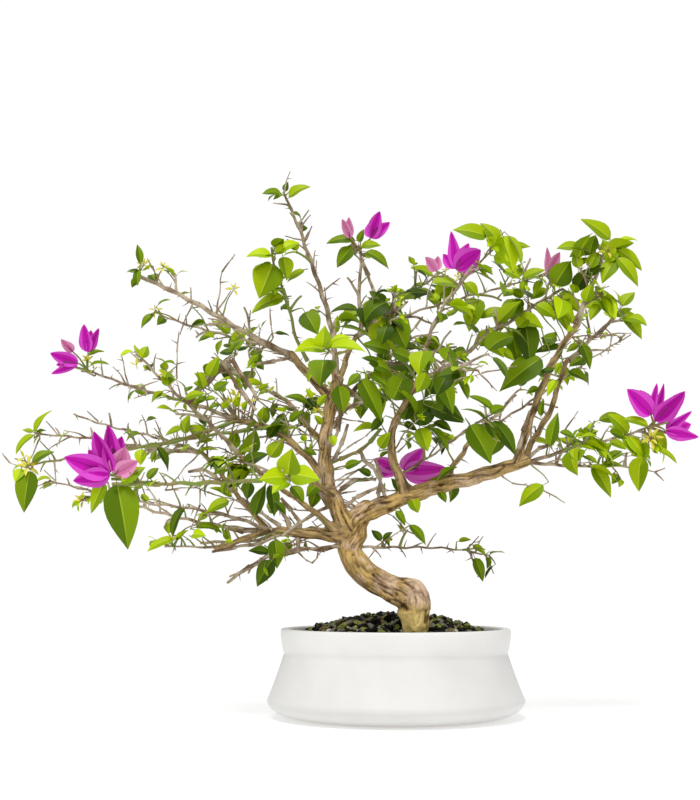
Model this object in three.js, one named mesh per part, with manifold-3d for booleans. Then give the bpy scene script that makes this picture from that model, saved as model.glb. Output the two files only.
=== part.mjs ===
// A bougainvillea bonsai in a round white bowl. A twisted trunk forks low into three arms, and open, twiggy
// boughs carry small pointed leaves and magenta bracts. Millimetres, +Z up, +X right, +Y away from the front.
// The origin is the middle of the bowl's flat underside.
import * as THREE from "three";
import { mergeVertices } from "three/addons/utils/BufferGeometryUtils.js";
import Module from "manifold-3d";

const wasm = await Module();
wasm.setup();

// Clear gap between neighbouring pieces, and the width of slivers smoothed away where pieces are fused
const GAP = 0.3;
const SLIVER = 0.02;

// Bowl
const BOWL_HEIGHT = 87;
const RIM_RADIUS = 114.5;
const NECK_RADIUS = 111.5;
const NECK_HEIGHT = 63;
const BELLY_RADIUS = 128;
const BELLY_HEIGHT = 17;
const FOOT_RADIUS = 95;
const WALL = 8;
const FLOOR = 9;
const ROUND_SIDES = 34;

// Soil, mounded behind the trunk and level under the trunk's foot, with lumps of coarse gravel on top
const SOIL_RINGS = 12;
const SOIL_EDGE = 83;
const MOUND_RISE = 22;
const MOUND_BACK = 25;
const MOUND_HALF_WIDTH = 101;
const MOUND_FRONT = 75;
const MOUND_REAR = 85;
const SEAT_HEIGHT = 87;
const SEAT_RADIUS = 21;
const SEAT_BLEND = 14;
const GRAVEL = 1.8;
const GRAVEL_STEP = 16;

// Trunk: middle and radius of each station from the ground to the fork
const TRUNK = [
  { x: 19, y: -40, z: 87, radius: 14 },
  { x: 19, y: -40, z: 103, radius: 15.5 },
  { x: 13, y: -37, z: 118, radius: 16.2 },
  { x: -8, y: -30, z: 129, radius: 11.5 },
  { x: -29, y: -23, z: 143, radius: 11.8 },
  { x: -43, y: -16, z: 158, radius: 11.6 },
  { x: -46, y: -11, z: 173, radius: 11.8 },
  { x: -41, y: -9, z: 190, radius: 12.5 },
  { x: -29, y: -9, z: 205, radius: 9.5 },
];
const TRUNK_SIDES = 12;
const TRUNK_RINGS = 19;
const FLUTE = 0.07;
const FLARE = 0.08;
const FLARE_SHARE = 0.07;

// Boughs: the limb each grows on and where along it (at its tip, unless at says otherwise), length, compass
// heading (0 right, 90 back), rise above level, arch over the straight line, sideways sweep, and the radius
// at the foot and the tip
const BOUGHS = [
  { name: "leader", on: "trunk", at: 0.82, length: 155, heading: 180, rise: 85, arch: -20,
    thick: [7.5, 5.8] },
  { name: "right_arm", on: "trunk", length: 166, heading: 0, rise: 18, arch: 2, thick: [8.5, 6] },
  { name: "left_arm", on: "trunk", at: 0.81, length: 82, heading: 183, rise: 1, arch: 7, thick: [6.5, 4.6] },
  { name: "left_stub", on: "left_arm", length: 56, heading: 195, rise: -18, thick: [3.8, 3] },
  { name: "left_long", on: "left_arm", length: 111, heading: 161, rise: 47, thick: [3.5, 2.6] },
  { name: "left_cross", on: "left_arm", at: 0.2, length: 124, heading: 191, rise: 37, thick: [3.6, 2.7] },
  { name: "left_mid", on: "leader", at: 0.32, length: 120, heading: 166, rise: 34, arch: 14,
    thick: [4, 3] },
  { name: "upper_left", on: "leader", at: 0.86, length: 64, heading: 176, rise: 50, thick: [4.5, 3.8] },
  { name: "crown_right", on: "leader", length: 54, heading: 45, rise: 62, thick: [3.8, 2.9] },
  { name: "front_rise", on: "right_arm", at: 0.25, length: 118, heading: 285, rise: 72, sweep: -16,
    thick: [5, 3.3] },
  { name: "right_tall", on: "right_arm", length: 147, heading: 355, rise: 68, arch: 5, thick: [4.4, 3.1] },
  { name: "right_twin", on: "right_arm", length: 134, heading: 46, rise: 55, arch: -8, thick: [3.4, 2.6] },
  { name: "arm_spur", on: "right_arm", at: 0.22, length: 36, heading: 100, rise: 40, thick: [2.7, 2.1] },
  { name: "back_high", on: "leader", at: 0.74, length: 132, heading: 56, rise: 32, arch: 6,
    thick: [3.6, 2.6] },
  { name: "back_left", on: "leader", at: 0.54, length: 128, heading: 120, rise: 32, arch: 6,
    thick: [3.6, 2.6] },
  { name: "back_right", on: "right_arm", at: 0.5, length: 122, heading: 69, rise: 29, arch: 6,
    thick: [3.6, 2.6] },
  { name: "front_low", on: "leader", at: 0.26, length: 78, heading: 244, rise: 7, arch: 4,
    thick: [3.2, 2.4] },
  { name: "front_high", on: "leader", at: 0.94, length: 86, heading: 270, rise: 10, arch: 5,
    thick: [3, 2.2] },
];
const BOUGH_SIDES = 6;
const BOUGH_RING_STEP = 34;
const SWAY = 0.014;

// Foliage: each mass grows from one stem on a bough's tip or the trunk. Twigs is the number of side twigs,
// reach their length, leafy the share of leaf buds that open, blooms the bract clusters at the stem's tip
const FOLIAGE = [
  { name: "upper_left", on: "upper_left", length: 179, heading: 178, rise: 28, thick: [3.4, 2.2],
    twigs: 3, reach: 44, leafy: 0.35, blooms: 0 },
  { name: "upper_back", on: "upper_left", length: 162, heading: 157, rise: 19, thick: [2.4, 1.3],
    twigs: 2, reach: 38, leafy: 0.5, blooms: 0 },
  { name: "green_shoot", on: "upper_left", length: 112, heading: 249, rise: 62, thick: [2.2, 1.3],
    twigs: 2, reach: 26, leafy: 1, blooms: 0 },
  { name: "left_bloom", on: "left_mid", length: 170, heading: 171, rise: 19, thick: [3, 1.4],
    twigs: 2, reach: 42, leafy: 0.4, blooms: 2 },
  { name: "front_left", on: "left_mid", length: 226, heading: 207, rise: -14, thick: [2, 1.2],
    twigs: 2, reach: 30, leafy: 0.4, blooms: 0 },
  { name: "left_cross", on: "left_cross", length: 143, heading: 191, rise: 44, thick: [2.7, 1.3],
    twigs: 3, reach: 40, leafy: 0.6, blooms: 0 },
  { name: "left_long", on: "left_long", length: 176, heading: 170, rise: 7, arch: 4, thick: [2.5, 1.2],
    twigs: 2, reach: 34, leafy: 0.4, blooms: 0 },
  { name: "left_far", on: "left_long", length: 180, heading: 149, rise: 16, thick: [2, 1.1],
    twigs: 2, reach: 36, leafy: 0.35, blooms: 0 },
  { name: "left_low", on: "left_arm", length: 280, heading: 154, rise: 12, arch: -6, thick: [2.6, 1.1],
    twigs: 2, reach: 38, leafy: 0.3, blooms: 0 },
  { name: "left_lower", on: "left_arm", length: 186, heading: 203, rise: 9, thick: [2.4, 1.1],
    twigs: 2, reach: 36, leafy: 0.4, blooms: 0 },
  { name: "stub_twig", on: "left_stub", length: 50, heading: 191, rise: 0, thick: [1.6, 1],
    twigs: 1, reach: 24, leafy: 0.7, blooms: 0 },
  { name: "front_bloom", on: "front_low", length: 165, heading: 205, rise: -2, arch: 4, thick: [2, 1.3],
    twigs: 2, reach: 30, leafy: 0.5, blooms: 2 },
  { name: "front_low", on: "front_low", length: 62, heading: 261, rise: 3, thick: [1.8, 1.2],
    twigs: 2, reach: 26, leafy: 1, blooms: 0 },
  { name: "low_left", on: "trunk", at: 0.7, length: 128, heading: 202, rise: -13, arch: 8, thick: [2.2, 1.2],
    twigs: 2, reach: 28, leafy: 0.7, blooms: 0 },
  { name: "low_right", on: "trunk", at: 0.66, length: 154, heading: 21, rise: -3, arch: 4, thick: [1.8, 1],
    twigs: 2, reach: 30, leafy: 0.45, blooms: 0 },
  { name: "top", on: "leader", length: 200, heading: 190, rise: 74, arch: 10, thick: [4, 1.4],
    twigs: 3, reach: 26, leafy: 0.35, blooms: 0 },
  { name: "top_bloom", on: "crown_right", length: 92, heading: 90, rise: 86, thick: [2.8, 1.6],
    twigs: 2, reach: 32, leafy: 0.9, blooms: 2 },
  { name: "high_right", on: "crown_right", length: 222, heading: 12, rise: 20, arch: 4, thick: [2.8, 1.4],
    twigs: 3, reach: 46, leafy: 0.8, blooms: 1 },
  { name: "high_bloom", on: "crown_right", length: 160, heading: 48, rise: 33, thick: [2.4, 1.4],
    twigs: 3, reach: 42, leafy: 0.8, blooms: 2 },
  { name: "front_right", on: "front_rise", length: 152, heading: 342, rise: 59, arch: 16, thick: [3.4, 1.4],
    twigs: 3, reach: 42, leafy: 0.7, blooms: 0 },
  { name: "right_rise", on: "front_rise", length: 192, heading: 19, rise: 33, thick: [3, 1.8],
    twigs: 4, reach: 46, leafy: 0.8, blooms: 0 },
  { name: "front_mid", on: "front_rise", length: 128, heading: 292, rise: -3, arch: 6, thick: [2.2, 1.2],
    twigs: 3, reach: 42, leafy: 0.8, blooms: 0 },
  { name: "right_spread", on: "back_right", length: 205, heading: 3, rise: 33, thick: [2.6, 1.3],
    twigs: 3, reach: 48, leafy: 0.7, blooms: 0 },
  { name: "right_tall", on: "right_tall", length: 80, heading: 351, rise: 68, thick: [3, 1.6],
    twigs: 3, reach: 42, leafy: 1, blooms: 0 },
  { name: "right_twin", on: "right_twin", length: 82, heading: 28, rise: 39, thick: [2.5, 1.4],
    twigs: 3, reach: 42, leafy: 0.9, blooms: 0 },
  { name: "right_bloom", on: "right_arm", length: 132, heading: 352, rise: 16, thick: [2.6, 1.4],
    twigs: 3, reach: 34, leafy: 0.8, blooms: 3 },
  { name: "right_low", on: "right_arm", length: 140, heading: 24, rise: -1, thick: [2.4, 1.2],
    twigs: 2, reach: 36, leafy: 0.7, blooms: 0 },
  { name: "arm_bloom", on: "arm_spur", length: 26, heading: 60, rise: 5, thick: [1.8, 1.3],
    twigs: 1, reach: 24, leafy: 0.6, blooms: 2 },
  { name: "inner_right", on: "arm_spur", length: 128, heading: 325, rise: 27, thick: [2, 1.2],
    twigs: 3, reach: 38, leafy: 0.9, blooms: 0 },
  { name: "back_high", on: "back_high", length: 125, heading: 69, rise: 30, thick: [2.6, 1.3],
    twigs: 4, reach: 48, leafy: 0.9, blooms: 1 },
  { name: "back_left", on: "back_left", length: 140, heading: 129, rise: 24, thick: [2.6, 1.3],
    twigs: 3, reach: 48, leafy: 0.7, blooms: 0 },
  { name: "back_right", on: "back_right", length: 136, heading: 62, rise: 25, thick: [2.4, 1.3],
    twigs: 3, reach: 46, leafy: 0.8, blooms: 0 },
  { name: "heart", on: "back_high", length: 95, heading: 318, rise: 6, thick: [2.2, 1.2],
    twigs: 3, reach: 42, leafy: 1, blooms: 0 },
  { name: "crown_front", on: "crown_right", length: 96, heading: 302, rise: 12, thick: [2, 1.2],
    twigs: 3, reach: 36, leafy: 1, blooms: 0 },
  { name: "front_inner", on: "front_low", length: 68, heading: 186, rise: 18, thick: [1.8, 1.1],
    twigs: 2, reach: 30, leafy: 1, blooms: 0 },
  { name: "front_high", on: "front_high", length: 78, heading: 264, rise: 8, thick: [2, 1.2],
    twigs: 3, reach: 36, leafy: 1, blooms: 0 },
];
const STEM_SIDES = 4;
const STEM_RING_STEP = 55;

// Twigs: three sided, turned by the golden angle from one to the next, leaning along the stem and up
const TWIG_SIDES = 3;
const TWIG_FOOT = 1.4;
const TWIG_TIP = 1.1;
const TWIG_FROM = 0.12;
const TWIG_TO = 0.94;
const TWIG_ALONG = 0.6;
const TWIG_UP = 0.25;
const GOLDEN = 2.39996;
const TRIES = 4;
const RETRY_TURN = 1.3;

// Leaves and bracts: keeled kites of four faces, widest nearer the foot, rooted in the middle of the shoot
const LEAF_LENGTH = 33;
const LEAF_WIDTH = 0.62;
const LEAF_SPACING = 46;
const LEAF_FROM = 0.35;
const LEAF_ALONG = 0.6;
const LEAF_HANG = 0.2;
const STEM_TUFT = 2;
const TWIG_TUFT = 2;
const TUFT_ALONG = 1.1;
const BRACT_LENGTH = 36;
const BRACT_WIDTH = 0.78;
const BRACT_ALONG = 0.6;
const BLOOM_STALK = 20;
const BLADE_THICKNESS = 1;
const BLADE_WIDEST = 0.4;
const BLADE_FOLD = 0.08;
const BLADE_DROOP = 0.12;

// Space kept between masses, and between a mass and the wood and the ground
const SPACE = 1.6;
const WOOD_CLEAR = 2.6;
const GROUND_CLEAR = 116;
const STATION_STEP = 3;

const UP = new THREE.Vector3(0, 0, 1);

function seededDraws(seed) {
  let state = (seed * 7919 + 104729) % 2147483647;
  return (low = 0, high = 1) => {
    state = (state * 16807) % 2147483647;
    return low + (high - low) * (state / 2147483647);
  };
}

function aim(heading, rise) {
  const turn = THREE.MathUtils.degToRad(heading);
  const lift = THREE.MathUtils.degToRad(rise);
  return new THREE.Vector3(Math.cos(lift) * Math.cos(turn), Math.cos(lift) * Math.sin(turn), Math.sin(lift));
}

function mix(...terms) {
  const sum = new THREE.Vector3();
  for (const [vector, share] of terms) {
    sum.addScaledVector(vector, share);
  }
  return sum.normalize();
}

// One limb: a straight line from foot to tip, bowed, with a slight sway that dies out at both ends
class Limb extends THREE.Curve {
  constructor({ foot, ahead, length, thick, arch = 0, sweep = 0, sway = 0 }) {
    super();
    this.foot = foot;
    this.length = length;
    this.thick = thick;
    this.span = ahead.clone().multiplyScalar(length);
    this.across = new THREE.Vector3().crossVectors(UP, ahead).normalize();
    this.over = new THREE.Vector3().crossVectors(ahead, this.across);
    this.arch = arch;
    this.sweep = sweep;
    this.sway = sway * length;
  }

  getPoint(t, target = new THREE.Vector3()) {
    const bow = 4 * t * (1 - t);
    target.copy(this.foot).addScaledVector(this.span, t);
    target.addScaledVector(this.over, this.arch * bow + 0.6 * this.sway * Math.sin(2 * Math.PI * t));
    return target.addScaledVector(this.across, this.sweep * bow + this.sway * Math.sin(3 * Math.PI * t));
  }

  frame(t) {
    const bow = 4 * (1 - 2 * t);
    const ahead = this.span.clone();
    const nod = 1.2 * Math.PI * this.sway * Math.cos(2 * Math.PI * t);
    const swing = 3 * Math.PI * this.sway * Math.cos(3 * Math.PI * t);
    ahead.addScaledVector(this.over, this.arch * bow + nod);
    ahead.addScaledVector(this.across, this.sweep * bow + swing).normalize();
    const side = this.across.clone().addScaledVector(ahead, -this.across.dot(ahead)).normalize();
    return { ahead, side, lift: new THREE.Vector3().crossVectors(side, ahead) };
  }

  radius(t) {
    return THREE.MathUtils.lerp(this.thick[0], this.thick[1], t);
  }

  relief() {
    return 1;
  }
}

// The trunk follows its stations; its section is fluted and flares into roots at the ground
class Trunk extends Limb {
  constructor() {
    const places = TRUNK.map(({ x, y, z }) => new THREE.Vector3(x, y, z));
    super({ foot: places[0], ahead: UP.clone().setY(0.01).normalize(), length: 190, thick: [1, 1] });
    this.path = new THREE.CatmullRomCurve3(places, false, "catmullrom", 0.5);
  }

  getPoint(t, target = new THREE.Vector3()) {
    return this.path.getPoint(t, target);
  }

  frame(t) {
    const ahead = this.path.getTangent(t);
    const side = mix([new THREE.Vector3().crossVectors(ahead, new THREE.Vector3(0, 1, 0)), 1]);
    return { ahead, side, lift: new THREE.Vector3().crossVectors(side, ahead) };
  }

  radius(t) {
    const place = THREE.MathUtils.clamp(t, 0, 1) * (TRUNK.length - 1);
    const below = Math.min(Math.floor(place), TRUNK.length - 2);
    return THREE.MathUtils.lerp(TRUNK[below].radius, TRUNK[below + 1].radius, place - below);
  }

  relief(t, angle) {
    const flutes = FLUTE * Math.cos(3 * angle + 7 * t) + 0.5 * FLUTE * Math.cos(5 * angle - 11 * t);
    return 1 + flutes + FLARE * Math.exp(-t / FLARE_SHARE) * Math.cos(5 * angle + 0.6);
  }
}

function solidOf(geometry) {
  geometry.deleteAttribute("normal");
  geometry.deleteAttribute("uv");
  const welded = mergeVertices(geometry, 1e-4);
  const corners = welded.index.array;
  const faces = [];
  for (let i = 0; i < corners.length; i += 3) {
    const [a, b, c] = corners.slice(i, i + 3);
    if (a !== b && b !== c && c !== a) {
      faces.push(a, b, c);
    }
  }
  const vertProperties = new Float32Array(welded.attributes.position.array);
  return new wasm.Manifold(new wasm.Mesh({ numProp: 3, vertProperties, triVerts: new Uint32Array(faces) }));
}

// The largest closed shell of a solid, so that sealed hollows are filled and loose scraps dropped
function largestShell(solid) {
  const { vertProperties, triVerts } = solid.getMesh();
  const leads = Uint32Array.from({ length: vertProperties.length / 3 }, (_, i) => i);
  const leadOf = (corner) => {
    while (leads[corner] !== corner) {
      leads[corner] = leads[leads[corner]];
      corner = leads[corner];
    }
    return corner;
  };
  for (let i = 0; i < triVerts.length; i += 3) {
    leads[leadOf(triVerts[i + 1])] = leadOf(triVerts[i]);
    leads[leadOf(triVerts[i + 2])] = leadOf(triVerts[i]);
  }
  const shells = new Map();
  for (let i = 0; i < triVerts.length; i += 3) {
    const lead = leadOf(triVerts[i]);
    const shell = shells.get(lead) ?? { faces: [], volume: 0 };
    const cornerOf = (k) => new THREE.Vector3().fromArray(vertProperties, 3 * triVerts[i + k]);
    const [a, b, c] = [0, 1, 2].map(cornerOf);
    shell.volume += a.dot(b.cross(c)) / 6;
    shell.faces.push(...triVerts.slice(i, i + 3));
    shells.set(lead, shell);
  }
  const best = [...shells.values()].reduce((most, shell) => (shell.volume > most.volume ? shell : most));
  const triangles = new Uint32Array(best.faces);
  return new wasm.Manifold(new wasm.Mesh({ numProp: 3, vertProperties, triVerts: triangles }));
}

// A tube along a limb; grown makes it thicker and longer by the gap, to cut the seat of a neighbour
function tube(limb, sides, rings, grown = 0) {
  const shape = new THREE.CylinderGeometry(1, 1, 1, sides, rings);
  const place = shape.attributes.position;
  const stretch = grown / limb.length;
  const point = new THREE.Vector3();
  for (let i = 0; i < place.count; i++) {
    const share = place.getY(i) + 0.5;
    const t = THREE.MathUtils.clamp(share, 0, 1);
    const { ahead, side, lift } = limb.frame(t);
    const angle = Math.atan2(place.getZ(i), place.getX(i));
    const radius = limb.radius(t) * limb.relief(t, angle) + grown;
    limb.getPoint(t, point);
    point.addScaledVector(ahead, (share < 0.001 ? -1 : share > 0.999 ? 1 : 0) * stretch * limb.length);
    point.addScaledVector(side, place.getX(i) * radius).addScaledVector(lift, place.getZ(i) * radius);
    place.setXYZ(i, point.x, point.y, point.z);
  }
  return solidOf(shape);
}

// Bowl: turned from one profile, a round foot and belly, a waisted neck and a nearly upright collar
function bowlSolid() {
  const profile = new THREE.Path();
  profile.moveTo(0, 0);
  profile.lineTo(FOOT_RADIUS, 0);
  profile.quadraticCurveTo(BELLY_RADIUS - 3, 3, BELLY_RADIUS, BELLY_HEIGHT);
  profile.quadraticCurveTo(NECK_RADIUS + 7, 0.5 * (BELLY_HEIGHT + NECK_HEIGHT), NECK_RADIUS, NECK_HEIGHT);
  profile.quadraticCurveTo(RIM_RADIUS, NECK_HEIGHT + 8, RIM_RADIUS, BOWL_HEIGHT - 2);
  profile.lineTo(RIM_RADIUS - 1.5, BOWL_HEIGHT);
  profile.lineTo(RIM_RADIUS - WALL + 1.5, BOWL_HEIGHT);
  profile.lineTo(RIM_RADIUS - WALL, BOWL_HEIGHT - 2);
  profile.lineTo(NECK_RADIUS - WALL, NECK_HEIGHT);
  profile.lineTo(BELLY_RADIUS - WALL - 3, BELLY_HEIGHT + 4);
  profile.lineTo(FOOT_RADIUS, FLOOR);
  profile.lineTo(0, FLOOR);
  return solidOf(new THREE.LatheGeometry(profile.getPoints(3), ROUND_SIDES).rotateX(Math.PI / 2));
}

function soilHeight(x, y) {
  const deep = y < MOUND_BACK ? MOUND_FRONT : MOUND_REAR;
  const share = Math.hypot(x / MOUND_HALF_WIDTH, (y - MOUND_BACK) / deep);
  const mound = SOIL_EDGE + MOUND_RISE * Math.max(0, 1 - share * share);
  const away = Math.hypot(x - TRUNK[0].x, y - TRUNK[0].y) - SEAT_RADIUS;
  return THREE.MathUtils.lerp(SEAT_HEIGHT + 1.5, mound, THREE.MathUtils.smoothstep(away, 0, SEAT_BLEND));
}

// The stones lie in a rough lattice, so that each lump has hollows round it
function gravelHeight(x, y) {
  const turn = (2 * Math.PI) / GRAVEL_STEP;
  return GRAVEL * Math.sin(turn * (x + 0.35 * y)) * Math.cos(turn * (y - 0.25 * x));
}

// Soil: fills the bowl to just under the rim, with a gravelly mound behind the trunk and a flat seat under it
function soilSolid() {
  const neck = NECK_RADIUS - WALL - GAP;
  const collarShare = (SOIL_EDGE - NECK_HEIGHT) / (BOWL_HEIGHT - 2 - NECK_HEIGHT);
  const wallAtEdge = neck + (RIM_RADIUS - NECK_RADIUS) * collarShare;
  const profile = new THREE.Path();
  profile.moveTo(0, FLOOR + GAP);
  profile.lineTo(FOOT_RADIUS - GAP, FLOOR + GAP);
  profile.lineTo(BELLY_RADIUS - WALL - 3 - 1.2 * GAP, BELLY_HEIGHT + 4);
  profile.lineTo(neck, NECK_HEIGHT);
  profile.lineTo(wallAtEdge, SOIL_EDGE);
  for (let ring = SOIL_RINGS - 1; ring >= 0; ring--) {
    profile.lineTo((wallAtEdge * ring) / SOIL_RINGS, SOIL_EDGE + 1);
  }
  const shape = new THREE.LatheGeometry(profile.getPoints(1), ROUND_SIDES).rotateX(Math.PI / 2);
  const place = shape.attributes.position;
  for (let i = 0; i < place.count; i++) {
    if (place.getZ(i) > SOIL_EDGE + 0.5) {
      const [x, y] = [place.getX(i), place.getY(i)];
      place.setZ(i, soilHeight(x, y) + gravelHeight(x, y));
    }
  }
  const seat = new THREE.CylinderGeometry(SEAT_RADIUS, SEAT_RADIUS, MOUND_RISE, 20).rotateX(Math.PI / 2);
  seat.translate(TRUNK[0].x, TRUNK[0].y, SEAT_HEIGHT - GAP + 0.5 * MOUND_RISE);
  return solidOf(shape).subtract(solidOf(seat));
}

// Limbs by name, in growing order; each foot sits on its parent, a little off centre towards its own heading
const limbs = new Map([["trunk", new Trunk()]]);

function growLimb(row, order) {
  const parent = limbs.get(row.on);
  const at = row.at ?? 1;
  const ahead = aim(row.heading, row.rise);
  const foot = parent.getPoint(at);
  const along = parent.frame(at).ahead;
  const outward = mix([ahead, 1], [along, -ahead.dot(along)]);
  foot.addScaledVector(outward, at === 1 ? 0.4 * parent.radius(at) : 0);
  return new Limb({ ...row, foot, ahead, sway: order % 2 ? SWAY : -SWAY });
}

BOUGHS.forEach((row, order) => limbs.set(row.name, growLimb(row, order)));
const stems = new Map(FOLIAGE.map((row, order) => [row.name, growLimb(row, order)]));

// Places along each limb, for measuring how near a twig or leaf comes to it
function stationsOf(limb) {
  const count = Math.ceil(limb.length / STATION_STEP);
  return Array.from({ length: count + 1 }, (_, i) => ({
    point: limb.getPoint(i / count),
    radius: limb.radius(i / count),
  }));
}

const woodStations = [...limbs.values()].flatMap(stationsOf);
const stemStations = new Map([...stems].map(([name, stem]) => [name, stationsOf(stem)]));

function nearest(point, stations) {
  return stations.reduce((best, station) => Math.min(best, station.point.distanceTo(point)), Infinity);
}

// A mass keeps to the space that lies nearer to its own stem than to any other, clear of wood and ground
function keepsClear(points, name) {
  return points.every((point) => {
    if (point.z < GROUND_CLEAR) {
      return false;
    }
    if (woodStations.some((station) => station.point.distanceTo(point) < station.radius + WOOD_CLEAR)) {
      return false;
    }
    const own = nearest(point, stemStations.get(name));
    return [...stemStations].every(([other, list]) => other === name || nearest(point, list) > own + SPACE);
  });
}

function outwardAt(shoot, t, angle) {
  const { ahead, side, lift } = shoot.frame(t);
  const out = side.clone().multiplyScalar(Math.cos(angle)).addScaledVector(lift, Math.sin(angle));
  return { ahead, out };
}

function sideTwig(stem, t, angle, reach, draw) {
  const { ahead, out } = outwardAt(stem, t, angle);
  const length = reach * draw(0.6, 1.1) * (1 - 0.4 * t);
  const thick = [Math.min(TWIG_FOOT, 0.9 * stem.radius(t)), TWIG_TIP];
  const leaning = mix([ahead, TWIG_ALONG], [out, 0.8], [UP, TWIG_UP]);
  return new Limb({ foot: stem.getPoint(t), ahead: leaning, length, thick, arch: 0.05 * length });
}

function twigPoints(twig) {
  return [0.35, 0.5, 0.65, 0.8, 0.9, 1].map((t) => twig.getPoint(t));
}

// A blade lies along ahead with its upper face towards over
function blade(foot, ahead, over, length, width) {
  return { foot, ahead, over, across: new THREE.Vector3().crossVectors(ahead, over), length, width };
}

function leafAt(shoot, t, angle, along, draw) {
  const { ahead, out } = outwardAt(shoot, t, angle);
  const length = LEAF_LENGTH * draw(0.65, 1.25);
  const roll = draw(-0.6, 0.6);
  const leaning = mix([ahead, along], [out, 0.85], [UP, -LEAF_HANG]);
  const level = mix([new THREE.Vector3().crossVectors(UP, leaning), 1]);
  const top = new THREE.Vector3().crossVectors(leaning, level);
  const over = mix([top, Math.cos(roll)], [level, -Math.sin(roll)]);
  return blade(shoot.getPoint(t), leaning, over, length, LEAF_WIDTH * length);
}

function bractAt(stalk, third, draw) {
  const { ahead, out } = outwardAt(stalk, 1, third);
  const leaning = mix([ahead, BRACT_ALONG], [out, 0.8]);
  const length = BRACT_LENGTH * draw(0.85, 1.1);
  const over = mix([ahead, 1], [leaning, -leaning.dot(ahead)]);
  return blade(stalk.getPoint(1), leaning, over, length, BRACT_WIDTH * length);
}

function bladePoint({ foot, ahead, across, over, length, width }, along, aside, above = 0) {
  const point = foot.clone().addScaledVector(ahead, along * length);
  point.addScaledVector(across, 0.5 * aside * width);
  const rise = BLADE_FOLD * width * Math.abs(aside) - BLADE_DROOP * length * Math.max(0, along) ** 2;
  return point.addScaledVector(over, rise + above);
}

function bladePoints(leaf) {
  const points = [];
  for (const along of [0.2, 0.4, 0.6, 0.8, 1]) {
    const half = along < BLADE_WIDEST ? along / BLADE_WIDEST : (1 - along) / (1 - BLADE_WIDEST);
    for (const aside of [-1, -0.5, 0, 0.5, 1]) {
      points.push(bladePoint(leaf, along, aside * half));
    }
  }
  return points;
}

function bladeSolid(leaf) {
  const shape = new THREE.TetrahedronGeometry(1);
  const place = shape.attributes.position;
  for (let i = 0; i < place.count; i++) {
    const side = Math.sign(place.getX(i));
    const onRib = place.getZ(i) > 0;
    const along = onRib ? (side > 0 ? 1 : 0) : BLADE_WIDEST;
    const above = 0.5 * BLADE_THICKNESS * (onRib ? -1 : 1);
    const point = bladePoint(leaf, along, onRib ? 0 : -side, above);
    place.setXYZ(i, point.x, point.y, point.z);
  }
  return solidOf(shape);
}

// The growing rule of one mass: side twigs on the stem, leaves along each shoot, a tuft or blooms at its tip
function growMass(row, order) {
  const draw = seededDraws(order + 1);
  const stem = stems.get(row.name);
  const twigs = [];
  const blades = [];
  const turn = draw(0, 2 * Math.PI);

  const firstClear = (make, pointsOf) => {
    for (let attempt = 0; attempt < TRIES; attempt++) {
      const grown = make(attempt * RETRY_TURN);
      if (keepsClear(pointsOf(grown), row.name)) {
        return [grown];
      }
    }
    return [];
  };

  for (let k = 0; k < row.twigs; k++) {
    const t = TWIG_FROM + ((TWIG_TO - TWIG_FROM) * (k + draw())) / row.twigs;
    const angle = turn + k * GOLDEN;
    twigs.push(...firstClear((more) => sideTwig(stem, t, angle + more, row.reach, draw), twigPoints));
  }

  for (let b = 0; b < row.blooms; b++) {
    const angle = turn + b * GOLDEN;
    const { ahead, out } = outwardAt(stem, 0.96, angle);
    const leaning = mix([ahead, 1], [out, 0.25 + 0.3 * b]);
    const thick = [TWIG_FOOT, TWIG_FOOT];
    const stalk = new Limb({ foot: stem.getPoint(0.96), ahead: leaning, length: BLOOM_STALK, thick });
    if (keepsClear(twigPoints(stalk), row.name)) {
      twigs.push(stalk);
      for (let third = 0; third < 3; third++) {
        const bract = bractAt(stalk, angle + (third * 2 * Math.PI) / 3, draw);
        blades.push(...(keepsClear(bladePoints(bract), row.name) ? [bract] : []));
      }
    }
  }

  for (const shoot of [stem, ...twigs.slice(0, twigs.length - row.blooms)]) {
    const buds = Math.max(1, Math.round((shoot.length * (1 - LEAF_FROM)) / LEAF_SPACING));
    for (let j = 0; j < buds; j++) {
      const t = LEAF_FROM + ((1 - LEAF_FROM) * (j + 0.5)) / buds;
      const angle = turn + j * GOLDEN;
      if (draw() < row.leafy) {
        blades.push(...firstClear((more) => leafAt(shoot, t, angle + more, LEAF_ALONG, draw), bladePoints));
      }
    }
    const tuft = shoot !== stem ? TWIG_TUFT : row.blooms ? 0 : STEM_TUFT;
    for (let j = 0; j < tuft; j++) {
      const t = 1 - (2 + 3 * j) / shoot.length;
      const angle = turn + (j * 2 * Math.PI) / tuft;
      blades.push(...firstClear((more) => leafAt(shoot, t, angle + more, TUFT_ALONG, draw), bladePoints));
    }
  }
  return { stem, twigs, blades };
}

// Wood: each limb is seated on those before it with a clear gap
const wood = [];

function seated(limb, sides, spacing) {
  const rings = Math.max(2, Math.min(6, Math.round(limb.length / spacing)));
  let solid = tube(limb, sides, rings);
  for (const cutter of wood) {
    solid = solid.subtract(cutter);
  }
  wood.push(tube(limb, sides, rings, GAP));
  return largestShell(solid);
}

function meshOf(name, solid, colour, roughness) {
  const { vertProperties, triVerts } = solid.getMesh();
  const geometry = new THREE.BufferGeometry();
  geometry.setAttribute("position", new THREE.Float32BufferAttribute(vertProperties, 3));
  geometry.setIndex([...triVerts]);
  geometry.computeVertexNormals();
  const mesh = new THREE.Mesh(geometry, new THREE.MeshStandardMaterial({ color: colour, roughness }));
  mesh.name = name;
  return mesh;
}

const bonsai = new THREE.Group();
bonsai.name = "bougainvillea_bonsai";
bonsai.add(meshOf("pot", bowlSolid(), 0xf2f2ee, 0.35));
bonsai.add(meshOf("soil", soilSolid(), 0x35322a, 0.95));

const trunk = limbs.get("trunk");
wood.push(tube(trunk, TRUNK_SIDES, TRUNK_RINGS, GAP));
bonsai.add(meshOf("trunk", tube(trunk, TRUNK_SIDES, TRUNK_RINGS), 0xa58a63, 0.85));

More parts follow.
